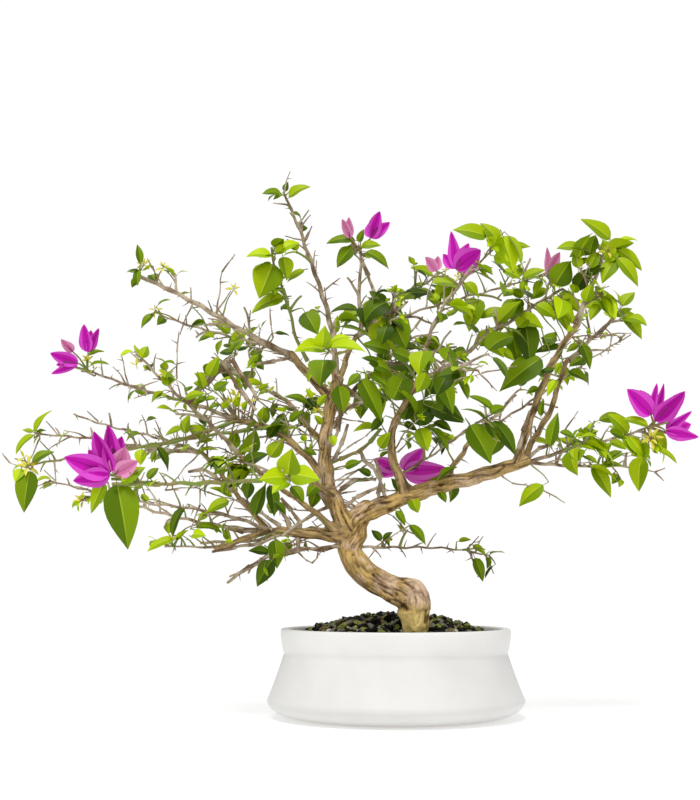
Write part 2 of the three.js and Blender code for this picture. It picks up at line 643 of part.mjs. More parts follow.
for (const row of BOUGHS) {
  const bough = seated(limbs.get(row.name), BOUGH_SIDES, BOUGH_RING_STEP);
  bonsai.add(meshOf(`bough_${row.name}`, bough, 0x9a8262, 0.85));
}

FOLIAGE.forEach((row, order) => {
  const { stem, twigs, blades } = growMass(row, order);
  const pieces = [seated(stem, STEM_SIDES, STEM_RING_STEP)];
  for (const twig of twigs) {
    pieces.push(tube(twig, TWIG_SIDES, 1));
  }
  for (const leaf of blades) {
    pieces.push(bladeSolid(leaf));
  }
  const mass = largestShell(wasm.Manifold.union(pieces).simplify(SLIVER));
  bonsai.add(meshOf(`foliage_${row.name}`, mass, 0x6f9a3c, 0.6));
});

export default bonsai;
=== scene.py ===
# A bougainvillea bonsai in a round white bowl, in the order it is put together: bowl, soil, wood, twigs,
# thorns, leaves, bracts, then the studio around it. Sizes are in millimetres and MM turns them into metres.
# +Z is up, +X right, +Y away from the front, and the origin is under the middle of the bowl.
import math

import bmesh
import bpy
import numpy as np
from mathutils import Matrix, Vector, noise
from mathutils.kdtree import KDTree


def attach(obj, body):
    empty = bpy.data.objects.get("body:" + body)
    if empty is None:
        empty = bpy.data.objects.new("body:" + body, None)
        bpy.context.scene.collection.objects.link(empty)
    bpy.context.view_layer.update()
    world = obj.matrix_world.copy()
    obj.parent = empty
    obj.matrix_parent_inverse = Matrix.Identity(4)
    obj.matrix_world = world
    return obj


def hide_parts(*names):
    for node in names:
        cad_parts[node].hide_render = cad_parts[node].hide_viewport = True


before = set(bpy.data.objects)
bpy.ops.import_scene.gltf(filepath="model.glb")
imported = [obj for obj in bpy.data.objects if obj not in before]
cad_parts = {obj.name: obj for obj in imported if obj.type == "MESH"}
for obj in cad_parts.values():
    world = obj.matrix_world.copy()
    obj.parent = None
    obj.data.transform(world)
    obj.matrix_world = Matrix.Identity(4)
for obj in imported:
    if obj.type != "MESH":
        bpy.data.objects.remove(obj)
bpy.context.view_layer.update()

# Bowl
# One slip-cast stoneware bowl with a round belly, a waisted neck and an upright collar, under a white satin
# glaze. It is turned from one outline, with a soft lip and a bare foot ring where it stands.
MM = 0.001
BOWL_SIDES = 160
RIM_RADIUS = 114.5
NECK_RADIUS = 111.5
NECK_HEIGHT = 63.0
BELLY_RADIUS = 128.0
BELLY_HEIGHT = 17.0
FOOT_RADIUS = 95.0
FOOT_RING = 10.0
FOOT_HOLLOW = 1.5
BOWL_HEIGHT = 87.0
LIP = 2.4
WALL = 8.0
FLOOR = 9.0
FOOT_STEP = 2.0
BELLY_CURL = 3.0
WAIST_OUT = 7.0
COLLAR_EASE = 8.0
INNER_BELLY_IN = 3.0
INNER_BELLY_UP = 4.0


def tint(red, green, blue):
    """A colour on the 0 to 255 scale, as the linear colour that shaders take."""
    shares = np.array((red, green, blue)) / 255
    linear = np.where(shares <= 0.04045, shares / 12.92, ((shares + 0.055) / 1.055) ** 2.4)
    return (*(float(share) for share in linear), 1.0)


class Shade:
    """One socket of a material's nodes. Arithmetic adds Math nodes, and node() adds any other kind."""

    def __init__(self, tree, socket=None):
        self.tree = tree
        self.socket = socket

    def node(self, kind, settings=None, sockets=None, out=0):
        made = self.tree.nodes.new(kind)
        for name, value in (settings or {}).items():
            setattr(made, name, value)
        for name, value in (sockets or {}).items():
            if isinstance(value, Shade):
                self.tree.links.new(value.socket, made.inputs[name])
            else:
                made.inputs[name].default_value = value
        return Shade(self.tree, made.outputs[out])

    def maths(self, operation, first, second):
        return self.node("ShaderNodeMath", {"operation": operation}, {0: first, 1: second})

    def __add__(self, other):
        return self.maths("ADD", self, other)

    def __radd__(self, other):
        return self.maths("ADD", other, self)

    def __sub__(self, other):
        return self.maths("SUBTRACT", self, other)

    def __rsub__(self, other):
        return self.maths("SUBTRACT", other, self)

    def __mul__(self, other):
        return self.maths("MULTIPLY", self, other)

    def __rmul__(self, other):
        return self.maths("MULTIPLY", other, self)

    def between(self, low, high):
        """0 below low, 1 above high, smooth in between."""
        settings = {"interpolation_type": "SMOOTHSTEP"}
        return self.node("ShaderNodeMapRange", settings, {0: self, 1: low, 2: high})

    def mixed(self, first, second):
        """The first colour where this is 0, the second where it is 1."""
        return self.node("ShaderNodeMix", {"data_type": "RGBA"}, {0: self, 6: first, 7: second}, out=2)

    def place(self):
        """The place on the piece, in metres."""
        return self.node("ShaderNodeTexCoord", out="Object")

    def height(self):
        return self.node("ShaderNodeSeparateXYZ", sockets={"Vector": self.place()}, out="Z")

    def mottle(self, scale, detail):
        """Soft noise from 0 to 1 all over the piece."""
        sockets = {"Vector": self.place(), "Scale": scale, "Detail": detail}
        return self.node("ShaderNodeTexNoise", sockets=sockets)

    def bump(self, height, strength, distance, **under):
        """The normal of a surface raised by height, on top of another Normal where one is given."""
        sockets = {"Strength": strength, "Distance": distance, "Height": height, **under}
        return self.node("ShaderNodeBump", sockets=sockets)


def new_material(name, **fixed):
    """A Principled material with its fixed values set, and a Shade to build what varies over it."""
    made = bpy.data.materials.new(name)
    made.use_nodes = True
    shader = made.node_tree.nodes["Principled BSDF"]
    for socket, value in fixed.items():
        shader.inputs[socket.replace("_", " ")].default_value = value
    return made, Shade(made.node_tree)


def feed(material, **varying):
    """Links what varies over the surface to the material's Principled shader."""
    shader = material.node_tree.nodes["Principled BSDF"]
    for socket, shade in varying.items():
        material.node_tree.links.new(shade.socket, shader.inputs[socket.replace("_", " ")])


def curve(start, control, end, count):
    """Points of a quadratic curve after its start."""
    t = np.linspace(0, 1, count + 1)[1:, None]
    start, control, end = (np.array(place, float) for place in (start, control, end))
    return ((1 - t) ** 2 * start + 2 * t * (1 - t) * control + t * t * end).tolist()


def full_turn(sides):
    return np.linspace(0, 2 * math.pi, sides, endpoint=False)


def ring_faces(count, sides):
    """Faces between rings of places, each ring with the next."""
    ring, side = np.meshgrid(np.arange(count - 1), np.arange(sides), indexing="ij")
    near = ring * sides + side
    far = ring * sides + (side + 1) % sides
    return np.stack((near, far, far + sides, near + sides), axis=-1).reshape(-1, 4)


def turned(outline, sides):
    """Places and faces of an outline turned about +Z: (radius, height) from the axis out, up and back in."""
    radius, height = np.array(outline, float).T
    turn = full_turn(sides)
    level = np.repeat(height[:, None], sides, axis=1)
    places = np.stack((np.outer(radius, np.cos(turn)), np.outer(radius, np.sin(turn)), level), axis=-1)
    return places.reshape(-1, 3), ring_faces(len(radius), sides)


def new_object(name, data):
    made = bpy.data.objects.new(name, data)
    bpy.context.scene.collection.objects.link(made)
    return made


def set_layer(mesh, label, kind, values):
    """One value for each point of a mesh, under a label."""
    layer = mesh.attributes.new(label, kind, "POINT")
    layer.data.foreach_set("value" if kind == "FLOAT" else "vector", np.asarray(values, np.float32).ravel())


def add_piece(name, places, faces, materials, picks=None, weld=False):
    """A smooth mesh object from places in millimetres; picks gives each face its material."""
    mesh = bpy.data.meshes.new(name)
    mesh.from_pydata((np.asarray(places) * MM).tolist(), [], np.asarray(faces).tolist(), shade_flat=False)
    for material in materials:
        mesh.materials.append(material)
    if picks is not None:
        mesh.polygons.foreach_set("material_index", np.asarray(picks, np.int32))
    if weld:
        work = bmesh.new()
        work.from_mesh(mesh)
        bmesh.ops.remove_doubles(work, verts=work.verts, dist=0.001 * MM)
        work.to_mesh(mesh)
        work.free()
    mesh.update()
    return new_object(name, mesh)


ring_edge = FOOT_RADIUS - FOOT_RING
bowl_outline = [(0, FOOT_HOLLOW), (ring_edge - FOOT_STEP, FOOT_HOLLOW), (ring_edge, 0), (FOOT_RADIUS, 0)]
belly_foot = (BELLY_RADIUS - BELLY_CURL, BELLY_CURL)
bowl_outline += curve(bowl_outline[-1], belly_foot, (BELLY_RADIUS, BELLY_HEIGHT), 14)
waist = (NECK_RADIUS + WAIST_OUT, 0.5 * (BELLY_HEIGHT + NECK_HEIGHT))
bowl_outline += curve(bowl_outline[-1], waist, (NECK_RADIUS, NECK_HEIGHT), 16)
collar_foot = (RIM_RADIUS, NECK_HEIGHT + COLLAR_EASE)
bowl_outline += curve(bowl_outline[-1], collar_foot, (RIM_RADIUS, BOWL_HEIGHT - LIP), 10)
bowl_outline += curve(bowl_outline[-1], (RIM_RADIUS, BOWL_HEIGHT), (RIM_RADIUS - LIP, BOWL_HEIGHT), 5)
bowl_outline.append((RIM_RADIUS - WALL + LIP, BOWL_HEIGHT))
inner_lip = (RIM_RADIUS - WALL, BOWL_HEIGHT)
bowl_outline += curve(bowl_outline[-1], inner_lip, (RIM_RADIUS - WALL, BOWL_HEIGHT - LIP), 5)
bowl_outline.append((NECK_RADIUS - WALL, NECK_HEIGHT))
bowl_outline.append((BELLY_RADIUS - WALL - INNER_BELLY_IN, BELLY_HEIGHT + INNER_BELLY_UP))
bowl_outline += [(FOOT_RADIUS, FLOOR), (0, FLOOR)]

glaze, look = new_material("white_satin_glaze", Coat_Weight=0.12, Coat_Roughness=0.3)
pooling = look.mottle(22, 3)
grit = look.mottle(900, 2)
height = look.height()
bare = 1 - height.between(0.0005, 0.0022)
cloud = pooling.between(0.35, 0.7)
# The upright collar is painted lighter than the belly: painted light, for the light from above that it misses
collar = height.between(0.06, 0.068)
thin_glaze_and_collar_light = collar.mixed(tint(215, 214, 212), tint(224, 223, 221))
thick_glaze_and_collar_light = collar.mixed(tint(220, 219, 217), tint(229, 228, 226))
glazed = cloud.mixed(thin_glaze_and_collar_light, thick_glaze_and_collar_light)
lifted = look.bump(pooling, 0.12, 0.0012)
feed(glaze, Base_Color=bare.mixed(glazed, tint(206, 198, 184)),
     Roughness=0.42 + 0.1 * cloud + 0.4 * bare, Normal=look.bump(grit, 0.05, 0.0002, Normal=lifted))

bowl = add_piece("bowl", *turned(bowl_outline, BOWL_SIDES), [glaze], weld=True)
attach(bowl, "root")
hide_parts("pot")

# Soil
# A gritty potting mix of dark clay chips, mounded behind the trunk and settled just under the rim.
# A lumpy bed fills the bowl, and loose chips, flecks of moss and dry stalks are strewn over it.
SOIL_EDGE = 83.0
MOUND_RISE = 22.0
MOUND_BACK = 25.0
MOUND_HALF_WIDTH = 101.0
MOUND_FRONT = 75.0
MOUND_REAR = 85.0
SEAT_HEIGHT = 88.5
SEAT_RADIUS = 21.0
SEAT_BLEND = 14.0
TRUNK_FOOT = (19.0, -40.0)
GRAVEL = 1.8
GRAVEL_STEP = 16.0
BED_SINK = 6.4
BED_LUMP = 1.4
BED_SIDES = 120
BED_RINGS = 36
BED_BELLY_IN = 3.4
BED_SHOULDER = 4.0
LUMP_SCALE = 0.16
SOIL_GAP = 0.3


def smooth(value, low, high):
    share = np.clip((value - low) / (high - low), 0, 1)
    return share * share * (3 - 2 * share)


def soil_height(x, y):
    deep = np.where(y < MOUND_BACK, MOUND_FRONT, MOUND_REAR)
    share = np.hypot(x / MOUND_HALF_WIDTH, (y - MOUND_BACK) / deep)
    mound = SOIL_EDGE + MOUND_RISE * np.maximum(0, 1 - share * share)
    blend = smooth(np.hypot(x - TRUNK_FOOT[0], y - TRUNK_FOOT[1]) - SEAT_RADIUS, 0, SEAT_BLEND)
    return SEAT_HEIGHT + (mound - SEAT_HEIGHT) * blend


def gravel_height(x, y):
    turn = 2 * math.pi / GRAVEL_STEP
    return GRAVEL * np.sin(turn * (x + 0.35 * y)) * np.cos(turn * (y - 0.25 * x))


def wall_at(height):
    """The bowl's inner radius in its collar, less the gap that the soil keeps."""
    share = (height - NECK_HEIGHT) / (BOWL_HEIGHT - LIP - NECK_HEIGHT)
    return NECK_RADIUS - WALL + (RIM_RADIUS - NECK_RADIUS) * share - SOIL_GAP


bed_outline = [(0, FLOOR + SOIL_GAP), (FOOT_RADIUS - SOIL_GAP, FLOOR + SOIL_GAP)]
bed_outline.append((BELLY_RADIUS - WALL - BED_BELLY_IN, BELLY_HEIGHT + INNER_BELLY_UP))
bed_outline.append((NECK_RADIUS - WALL - SOIL_GAP, NECK_HEIGHT))
shoulder = SOIL_EDGE - BED_SHOULDER
bed_outline.append((wall_at(shoulder), shoulder))
for ring in range(BED_RINGS, -1, -1):
    bed_outline.append((wall_at(shoulder) * ring / BED_RINGS, SOIL_EDGE))
bed_places, bed_faces = turned(bed_outline, BED_SIDES)
bed_top = bed_places[:, 2] > SOIL_EDGE - 1
lumps = np.array([noise.noise(Vector(place) * LUMP_SCALE) for place in bed_places[bed_top]])
bed_x, bed_y = bed_places[bed_top, :2].T
bed_places[bed_top, 2] = soil_height(bed_x, bed_y) + gravel_height(bed_x, bed_y) - BED_SINK + BED_LUMP * lumps

# The bed is near black: the mix's own dark colour, and painted shade for the gaps between the chips
dark_mix_and_gap_shade, look = new_material("potting_mix_and_gap_shade", Specular_IOR_Level=0.1)
crumbs = look.node("ShaderNodeTexVoronoi", sockets={"Vector": look.place(), "Scale": 260})
feed(dark_mix_and_gap_shade, Base_Color=look.mottle(60, 4).mixed(tint(6, 6, 4), tint(22, 21, 14)),
     Roughness=0.8 + 0.2 * crumbs, Normal=look.bump(crumbs, 0.8, 0.002))
bed = add_piece("soil_bed", bed_places, bed_faces, [dark_mix_and_gap_shade], weld=True)
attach(bed, "root")
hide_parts("soil")


def geometry_tree(name, **inputs):
    """An empty tree of geometry nodes with its named inputs, and the outputs of its input node."""
    tree = bpy.data.node_groups.new(name, "GeometryNodeTree")
    tree.interface.new_socket("Geometry", in_out="INPUT", socket_type="NodeSocketGeometry")
    for label, kind in inputs.items():
        tree.interface.new_socket(label, in_out="INPUT", socket_type="NodeSocket" + kind)
    tree.interface.new_socket("Geometry", in_out="OUTPUT", socket_type="NodeSocketGeometry")
    return tree, tree.nodes.new("NodeGroupInput").outputs


def add_node(tree, kind, settings=None, sockets=None):
    """A geometry node with its settings and its sockets' values or links; gives its outputs."""
    made = tree.nodes.new(kind)
    for name, value in (settings or {}).items():
        setattr(made, name, value)
    for name, value in (sockets or {}).items():
        if isinstance(value, bpy.types.NodeSocket):
            tree.links.new(value, made.inputs[name])
        else:
            made.inputs[name].default_value = value
    return made.outputs


def close_tree(tree, shape, material):
    """The last nodes of every tree: instances made real, then the material."""
    real = add_node(tree, "GeometryNodeRealizeInstances", sockets={"Geometry": shape})
    painted = add_node(tree, "GeometryNodeSetMaterial", sockets={"Geometry": real[0], "Material": material})
    tree.links.new(painted[0], tree.nodes.new("NodeGroupOutput").inputs[0])


def baked(base):
    """The plain mesh that an object's modifiers make of it."""
    depsgraph = bpy.context.evaluated_depsgraph_get()
    return bpy.data.meshes.new_from_object(base.evaluated_get(depsgraph), depsgraph=depsgraph)


def grown_on(base, tree, name, **values):
    """The plain mesh object that a tree makes from a base object."""
    modifier = base.modifiers.new(tree.name, "NODES")
    modifier.node_group = tree
    for item in tree.interface.items_tree:
        if item.in_out == "INPUT" and item.name in values:
            modifier[item.identifier] = values[item.name]
    mesh = baked(base)
    mesh.name = name
    base.modifiers.remove(modifier)
    return new_object(name, mesh)


def remove_piece(piece):
    mesh = piece.data
    bpy.data.objects.remove(piece)
    bpy.data.meshes.remove(mesh)


strew, given = geometry_tree("strewn_chips", Chip="Object", Spacing="Float", Crowding="Float",
                             Smallest="Float", Largest="Float", Tilt="Float", Seed="Int", Material="Material")
upward = add_node(strew, "ShaderNodeSeparateXYZ",
                  sockets={"Vector": add_node(strew, "GeometryNodeInputNormal")[0]})
level = add_node(strew, "FunctionNodeCompare", {"operation": "GREATER_THAN"}, {0: upward["Z"], 1: 0.5})
spots = add_node(strew, "GeometryNodeDistributePointsOnFaces", {"distribute_method": "POISSON"},
                 {"Mesh": given["Geometry"], "Selection": level[0], "Distance Min": given["Spacing"],
                  "Density Max": given["Crowding"], "Seed": given["Seed"]})
HALF_TURN = 3.1
turned_least = add_node(strew, "ShaderNodeCombineXYZ", sockets={"X": 0, "Y": 0, "Z": -HALF_TURN})
turned_most = add_node(strew, "ShaderNodeCombineXYZ",
                       sockets={"X": given["Tilt"], "Y": given["Tilt"], "Z": HALF_TURN})
tumble = add_node(strew, "FunctionNodeRandomValue", {"data_type": "FLOAT_VECTOR"},
                  {0: turned_least[0], 1: turned_most[0], "Seed": given["Seed"]})
girth = add_node(strew, "FunctionNodeRandomValue", {"data_type": "FLOAT"},
                 {2: given["Smallest"], 3: given["Largest"], "Seed": given["Seed"]})
shape = add_node(strew, "GeometryNodeObjectInfo", sockets={"Object": given["Chip"]})
strewn = add_node(strew, "GeometryNodeInstanceOnPoints",
                  sockets={"Points": spots["Points"], "Instance": shape["Geometry"],
                           "Rotation": tumble[0], "Scale": girth[1]})
close_tree(strew, strewn[0], given["Material"])

CHIP_ROUGH = 0.22
CHIP_GRAIN = 900
CHIP_FLAT = 0.58
CHIP_SHADE = 0.45
# Each kind strewn on the bed: tint, spacing, crowding, radius of the smallest and the largest, length against
# its radius, how far it may tilt, and its seed
CHIPS = {
    "charcoal": (tint(20, 19, 16), 8.6, 20000, 3.0, 4.8, 1.7, 0.9, 3),
    "slate": (tint(134, 131, 110), 10.2, 12000, 3.2, 4.8, 1.7, 0.9, 5),
    "olive": (tint(142, 148, 72), 10.6, 10500, 3.2, 5.0, 1.7, 0.9, 8),
    "umber": (tint(128, 112, 80), 13.5, 5200, 2.8, 4.4, 1.7, 0.9, 27),
    "moss": (tint(150, 168, 58), 17.0, 3200, 1.8, 3.8, 1.3, 3.1, 21),
    "pale": (tint(228, 224, 212), 15.0, 3600, 1.8, 3.2, 1.0, 3.1, 13),
    "straw": (tint(226, 214, 176), 19.0, 1900, 0.6, 0.9, 12.0, 0.25, 34),
}
for kind, (colour, spacing, crowding, smallest, largest, stretch, tilt, seed) in CHIPS.items():
    ball = bmesh.new()
    bmesh.ops.create_icosphere(ball, subdivisions=1, radius=MM)
    for corner in ball.verts:
        corner.co *= 1 + CHIP_ROUGH * noise.noise(corner.co * CHIP_GRAIN + Vector((seed, 0, 0)))
        corner.co.x *= stretch
        corner.co.z *= CHIP_FLAT
    chip_mesh = bpy.data.meshes.new("chip")
    ball.to_mesh(chip_mesh)
    ball.free()
    chip = new_object("chip", chip_mesh)
    clay, look = new_material("clay_chip_" + kind, Specular_IOR_Level=0.2)
    pores = look.mottle(700, 3)
    dark = tuple(CHIP_SHADE * share for share in colour[:3]) + (1.0,)
    feed(clay, Base_Color=pores.between(0.3, 0.65).mixed(dark, colour), Roughness=0.6 + 0.35 * pores,
         Normal=look.bump(pores, 0.5, 0.0006))
    chips = grown_on(bed, strew, "chips_" + kind, Chip=chip, Spacing=spacing * MM, Crowding=crowding,
                     Smallest=smallest, Largest=largest, Tilt=tilt, Seed=seed, Material=clay)
    remove_piece(chip)
    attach(chips, "root")

# Wood
# The trunk rises from the soil, leans left in a tight bend and forks into three arms, and the boughs go on
# from those. Limbs are tubes joined into one skin, with fissured bark, knots and scars raised on it.
UP = np.array((0.0, 0.0, 1.0))
# Middle and radius of each station of the trunk, from the ground to the fork
TRUNK = np.array((
    (19, -40, 87, 14), (19, -40, 103, 15.5), (13, -37, 118, 16.2), (-8, -30, 129, 11.5),
    (-29, -23, 143, 11.8), (-43, -16, 158, 11.6), (-46, -11, 173, 11.8), (-41, -9, 190, 12.5),
    (-29, -9, 205, 9.5),
), float)
TRUNK_LENGTH = 190.0
FLUTE = 0.07
FLARE = 0.08
FLARE_SHARE = 0.07
# The drawn trunk stands off the plain one at the hump, below the bend and under the fork: how far, where
# along it and over what share of it. It swells below the bend, and is drawn in at the ground.
LEANS = (((1.6, 0, 0.8), 0.24, 0.06), ((-2.4, 0, -2), 0.46, 0.13), ((3.5, 0, 0), 0.8, 0.08))
SWELL = 0.09
SWELL_AT = 0.46
SWELL_SPAN = 0.13
PINCH = 0.15
SWAY = 0.014
# Each bough: the limb it grows on and where along it, length, compass heading (0 right, 90 back), rise above
# level, arch over the straight line, sideways sweep, and the radius at the foot and the tip
BOUGHS = {
    "leader": ("trunk", 0.82, 155, 180, 85, -20, 0, 7.5, 5.8),
    "right_arm": ("trunk", 1, 166, 0, 18, 2, 0, 8.5, 6),
    "left_arm": ("trunk", 0.81, 82, 183, 1, 7, 0, 6.5, 4.6),
    "left_stub": ("left_arm", 1, 56, 195, -18, 0, 0, 3.8, 3),
    "left_long": ("left_arm", 1, 111, 161, 47, 0, 0, 3.5, 2.6),
    "left_cross": ("left_arm", 0.2, 124, 191, 37, 0, 0, 3.6, 2.7),
    "left_mid": ("leader", 0.32, 120, 166, 34, 14, 0, 4, 3),
    "upper_left": ("leader", 0.86, 64, 176, 50, 0, 0, 4.5, 3.8),
    "crown_right": ("leader", 1, 54, 45, 62, 0, 0, 3.8, 2.9),
    "front_rise": ("right_arm", 0.25, 118, 285, 72, 0, -16, 5, 3.3),
    "right_tall": ("right_arm", 1, 147, 355, 68, 5, 0, 4.4, 3.1),
    "right_twin": ("right_arm", 1, 134, 46, 55, -8, 0, 3.4, 2.6),
    "arm_spur": ("right_arm", 0.22, 36, 100, 40, 0, 0, 2.7, 2.1),
    "back_high": ("leader", 0.74, 132, 56, 32, 6, 0, 3.6, 2.6),
    "back_left": ("leader", 0.54, 128, 120, 32, 6, 0, 3.6, 2.6),
    "back_right": ("right_arm", 0.5, 122, 69, 29, 6, 0, 3.6, 2.6),
    "front_low": ("leader", 0.26, 78, 244, 7, 4, 0, 3.2, 2.4),
    "front_high": ("leader", 0.94, 86, 270, 10, 5, 0, 3, 2.2),
}
WANDER = 0.006
WANDER_STEP = 37.0
WANDER_MOST = 1.0
# Brings the kinks' zigzag to a height of 1, and sets their two directions out of step
ZIGZAG = 0.64
OFF_STEP = 1.37
# How far a limb on a tip starts off the axis, against the parent's radius
TIP_OFFSET = 0.4


def unit(vectors):
    vectors = np.asarray(vectors, float)
    return vectors / np.linalg.norm(vectors, axis=-1, keepdims=True)


def aim(heading, rise):
    turn = math.radians(heading)
    lift = math.radians(rise)
    return np.array((math.cos(lift) * math.cos(turn), math.cos(lift) * math.sin(turn), math.sin(lift)))


class Limb:
    """A limb from foot to tip: a straight line, bowed, with a slight sway that dies out at both ends."""

    def __init__(self, foot, ahead, length, thick, arch=0.0, sweep=0.0, sway=0.0, wander=WANDER):
        self.foot = foot
        self.length = length
        self.thick = thick
        self.span = ahead * length
        self.across = unit(np.cross(UP, ahead))
        self.over = np.cross(ahead, self.across)
        self.arch = arch
        self.sweep = sweep
        self.sway = sway * length
        self.wander = min(wander * length, WANDER_MOST)
        self.stand_off()

    def stand_off(self, bow=None, heel=None, shift=None):
        """How far the drawn line stands off the plain one in its middle, at its foot, and all along."""
        self.bow, self.heel, self.shift = (np.array(far or (0, 0, 0), float) for far in (bow, heel, shift))

    def point(self, t):
        t = np.asarray(t, float)[..., None]
        bow = 4 * t * (1 - t)
        nod = self.arch * bow + 0.6 * self.sway * np.sin(2 * math.pi * t)
        swing = self.sweep * bow + self.sway * np.sin(3 * math.pi * t)
        return self.foot + self.span * t + self.over * nod + self.across * swing

    def drawn(self, t):
        """The line that is drawn: the same, with the small kinks of real wood from node to node."""
        t = np.asarray(t, float)[..., None]
        phase = self.foot.sum() + 3 * self.span.sum()
        step = 2 * math.pi * self.length / WANDER_STEP * t + phase
        still = np.sqrt(np.clip(4 * t * (1 - t), 0, 1))
        kinks = self.across * np.arcsin(np.sin(step)) + self.over * np.arcsin(np.sin(OFF_STEP * step + phase))
        moved = self.shift + self.bow * 4 * t * (1 - t) + self.heel * (1 - t) ** 2
        return self.point(t[..., 0]) + moved + ZIGZAG * self.wander * still * kinks

    def frame(self, t):
        t = np.asarray(t, float)[..., None]
        bow = 4 * (1 - 2 * t)
        nod = self.arch * bow + 1.2 * math.pi * self.sway * np.cos(2 * math.pi * t)
        swing = self.sweep * bow + 3 * math.pi * self.sway * np.cos(3 * math.pi * t)
        ahead = unit(self.span + self.over * nod + self.across * swing)
        side = unit(self.across - ahead * np.sum(self.across * ahead, axis=-1, keepdims=True))
        return ahead, side, np.cross(side, ahead)

    def radius(self, t):
        return self.thick[0] + (self.thick[1] - self.thick[0]) * np.asarray(t, float)

    def relief(self, t, angle):
        return np.ones(np.broadcast(t, angle).shape)


class Trunk(Limb):
    """The trunk follows its stations; its section is fluted and flares at the ground."""

    def __init__(self):
        super().__init__(TRUNK[0, :3], unit((0, 0.01, 1)), TRUNK_LENGTH, (1, 1), wander=0)
        ends = 2 * TRUNK[[0, -1]] - TRUNK[[1, -2]]
        self.places = np.vstack((ends[0], TRUNK, ends[1]))[:, :3]

    def point(self, t):
        place = np.clip(np.asarray(t, float), 0, 1) * (len(TRUNK) - 1)
        lower = np.minimum(place.astype(int), len(TRUNK) - 2)
        share = (place - lower)[..., None]
        before, start, end, after = (self.places[lower + i] for i in range(4))
        leave = 0.5 * (end - before)
        arrive = 0.5 * (after - start)
        square = 3 * (end - start) - 2 * leave - arrive
        cube = 2 * (start - end) + leave + arrive
        return start + share * (leave + share * (square + share * cube))

    def drawn(self, t):
        t = np.asarray(t, float)[..., None]
        leaning = sum(np.array(far) * np.exp(-(((t - at) / span) ** 2)) for far, at, span in LEANS)
        return self.point(t[..., 0]) + leaning

    def frame(self, t):
        t = np.asarray(t, float)
        near = 0.0001
        ahead = unit(self.point(np.minimum(t + near, 1)) - self.point(np.maximum(t - near, 0)))
        side = unit(np.cross(ahead, (0.0, 1.0, 0.0)))
        return ahead, side, np.cross(side, ahead)

    def radius(self, t):
        place = np.clip(np.asarray(t, float), 0, 1) * (len(TRUNK) - 1)
        return np.interp(place, np.arange(len(TRUNK)), TRUNK[:, 3])

    def relief(self, t, angle):
        flutes = FLUTE * np.cos(3 * angle + 7 * t) + 0.5 * FLUTE * np.cos(5 * angle - 11 * t)
        swollen = SWELL * np.exp(-(((t - SWELL_AT) / SWELL_SPAN) ** 2))
        foot = np.exp(-t / FLARE_SHARE)
        return 1 + flutes + swollen + FLARE * foot * np.cos(5 * angle + 0.6) - PINCH * foot


limbs = {"trunk": Trunk()}


def grow_limb(on, at, length, heading, rise, arch, sweep, foot_radius, tip_radius, order):
    """A limb on its parent: on the axis, or at the tip a little off it towards its own heading."""
    parent = limbs[on]
    ahead = aim(heading, rise)
    along = parent.frame(at)[0]
    outward = unit(ahead - along * ahead.dot(along))
    foot = parent.point(at) + outward * (TIP_OFFSET * parent.radius(at) if at == 1 else 0)
    return Limb(foot, ahead, length, (foot_radius, tip_radius), arch, sweep, SWAY if order % 2 else -SWAY)


# How far the drawn line of a bough stands off the plain one in its middle, and at its foot
BOUGH_BOWS = {
    "front_rise": (-5, 0, 0), "right_tall": (-4, 0, 0), "right_twin": (-3, 0, 0), "left_arm": (0, 0, -8),
}
BOUGH_HEELS = {"right_tall": (-8, 0, -2)}
for order, (name, row) in enumerate(BOUGHS.items()):
    limbs[name] = grow_limb(*row, order)
    limbs[name].stand_off(BOUGH_BOWS.get(name), BOUGH_HEELS.get(name))


def skin(middles, sides_to, lifts_to, radii, sides):
    """Places and faces of a tube through middles, closed to a point at both ends."""
    turn = full_turn(sides)
    radii = np.broadcast_to(np.reshape(radii, (len(middles), -1)), (len(middles), sides))
    round_to = sides_to[:, None] * np.cos(turn)[:, None] + lifts_to[:, None] * np.sin(turn)[:, None]
    places = middles[:, None] + round_to * radii[..., None]
    places = np.concatenate((middles[:1, None].repeat(sides, 1), places, middles[-1:, None].repeat(sides, 1)))
    return places.reshape(-1, 3), ring_faces(len(places), sides)[:, [0, 3, 2, 1]]


def joined(parts):
    """Several (places, faces) as one."""
    starts = np.cumsum([0] + [len(places) for places, _ in parts[:-1]])
    places = np.concatenate([places for places, _ in parts])
    faces = np.concatenate([faces + start for (_, faces), start in zip(parts, starts)])
    return places, faces


# How much thicker a limb is where it leaves its parent's side or tip, and over how many of its radii
COLLAR = 0.45
TIP_COLLAR = 0.08
COLLAR_LENGTH = 1.5
# Limbs that aren't named here are drawn slimmer
SLIM = 0.84
FULL_LIMBS = ("trunk", "leader", "right_arm", "left_arm", "left_mid", "upper_left", "front_rise",
              "right_tall", "right_twin")
LIMB_SIDES = 40
TRUNK_SUNK = 7.0
# The rounded end of a limb: how far past the tip, and what share of its radius
END_PAST = (0.6, 0.9)
END_SHARES = (0.8, 0.43)
RING_STEP = 2.0


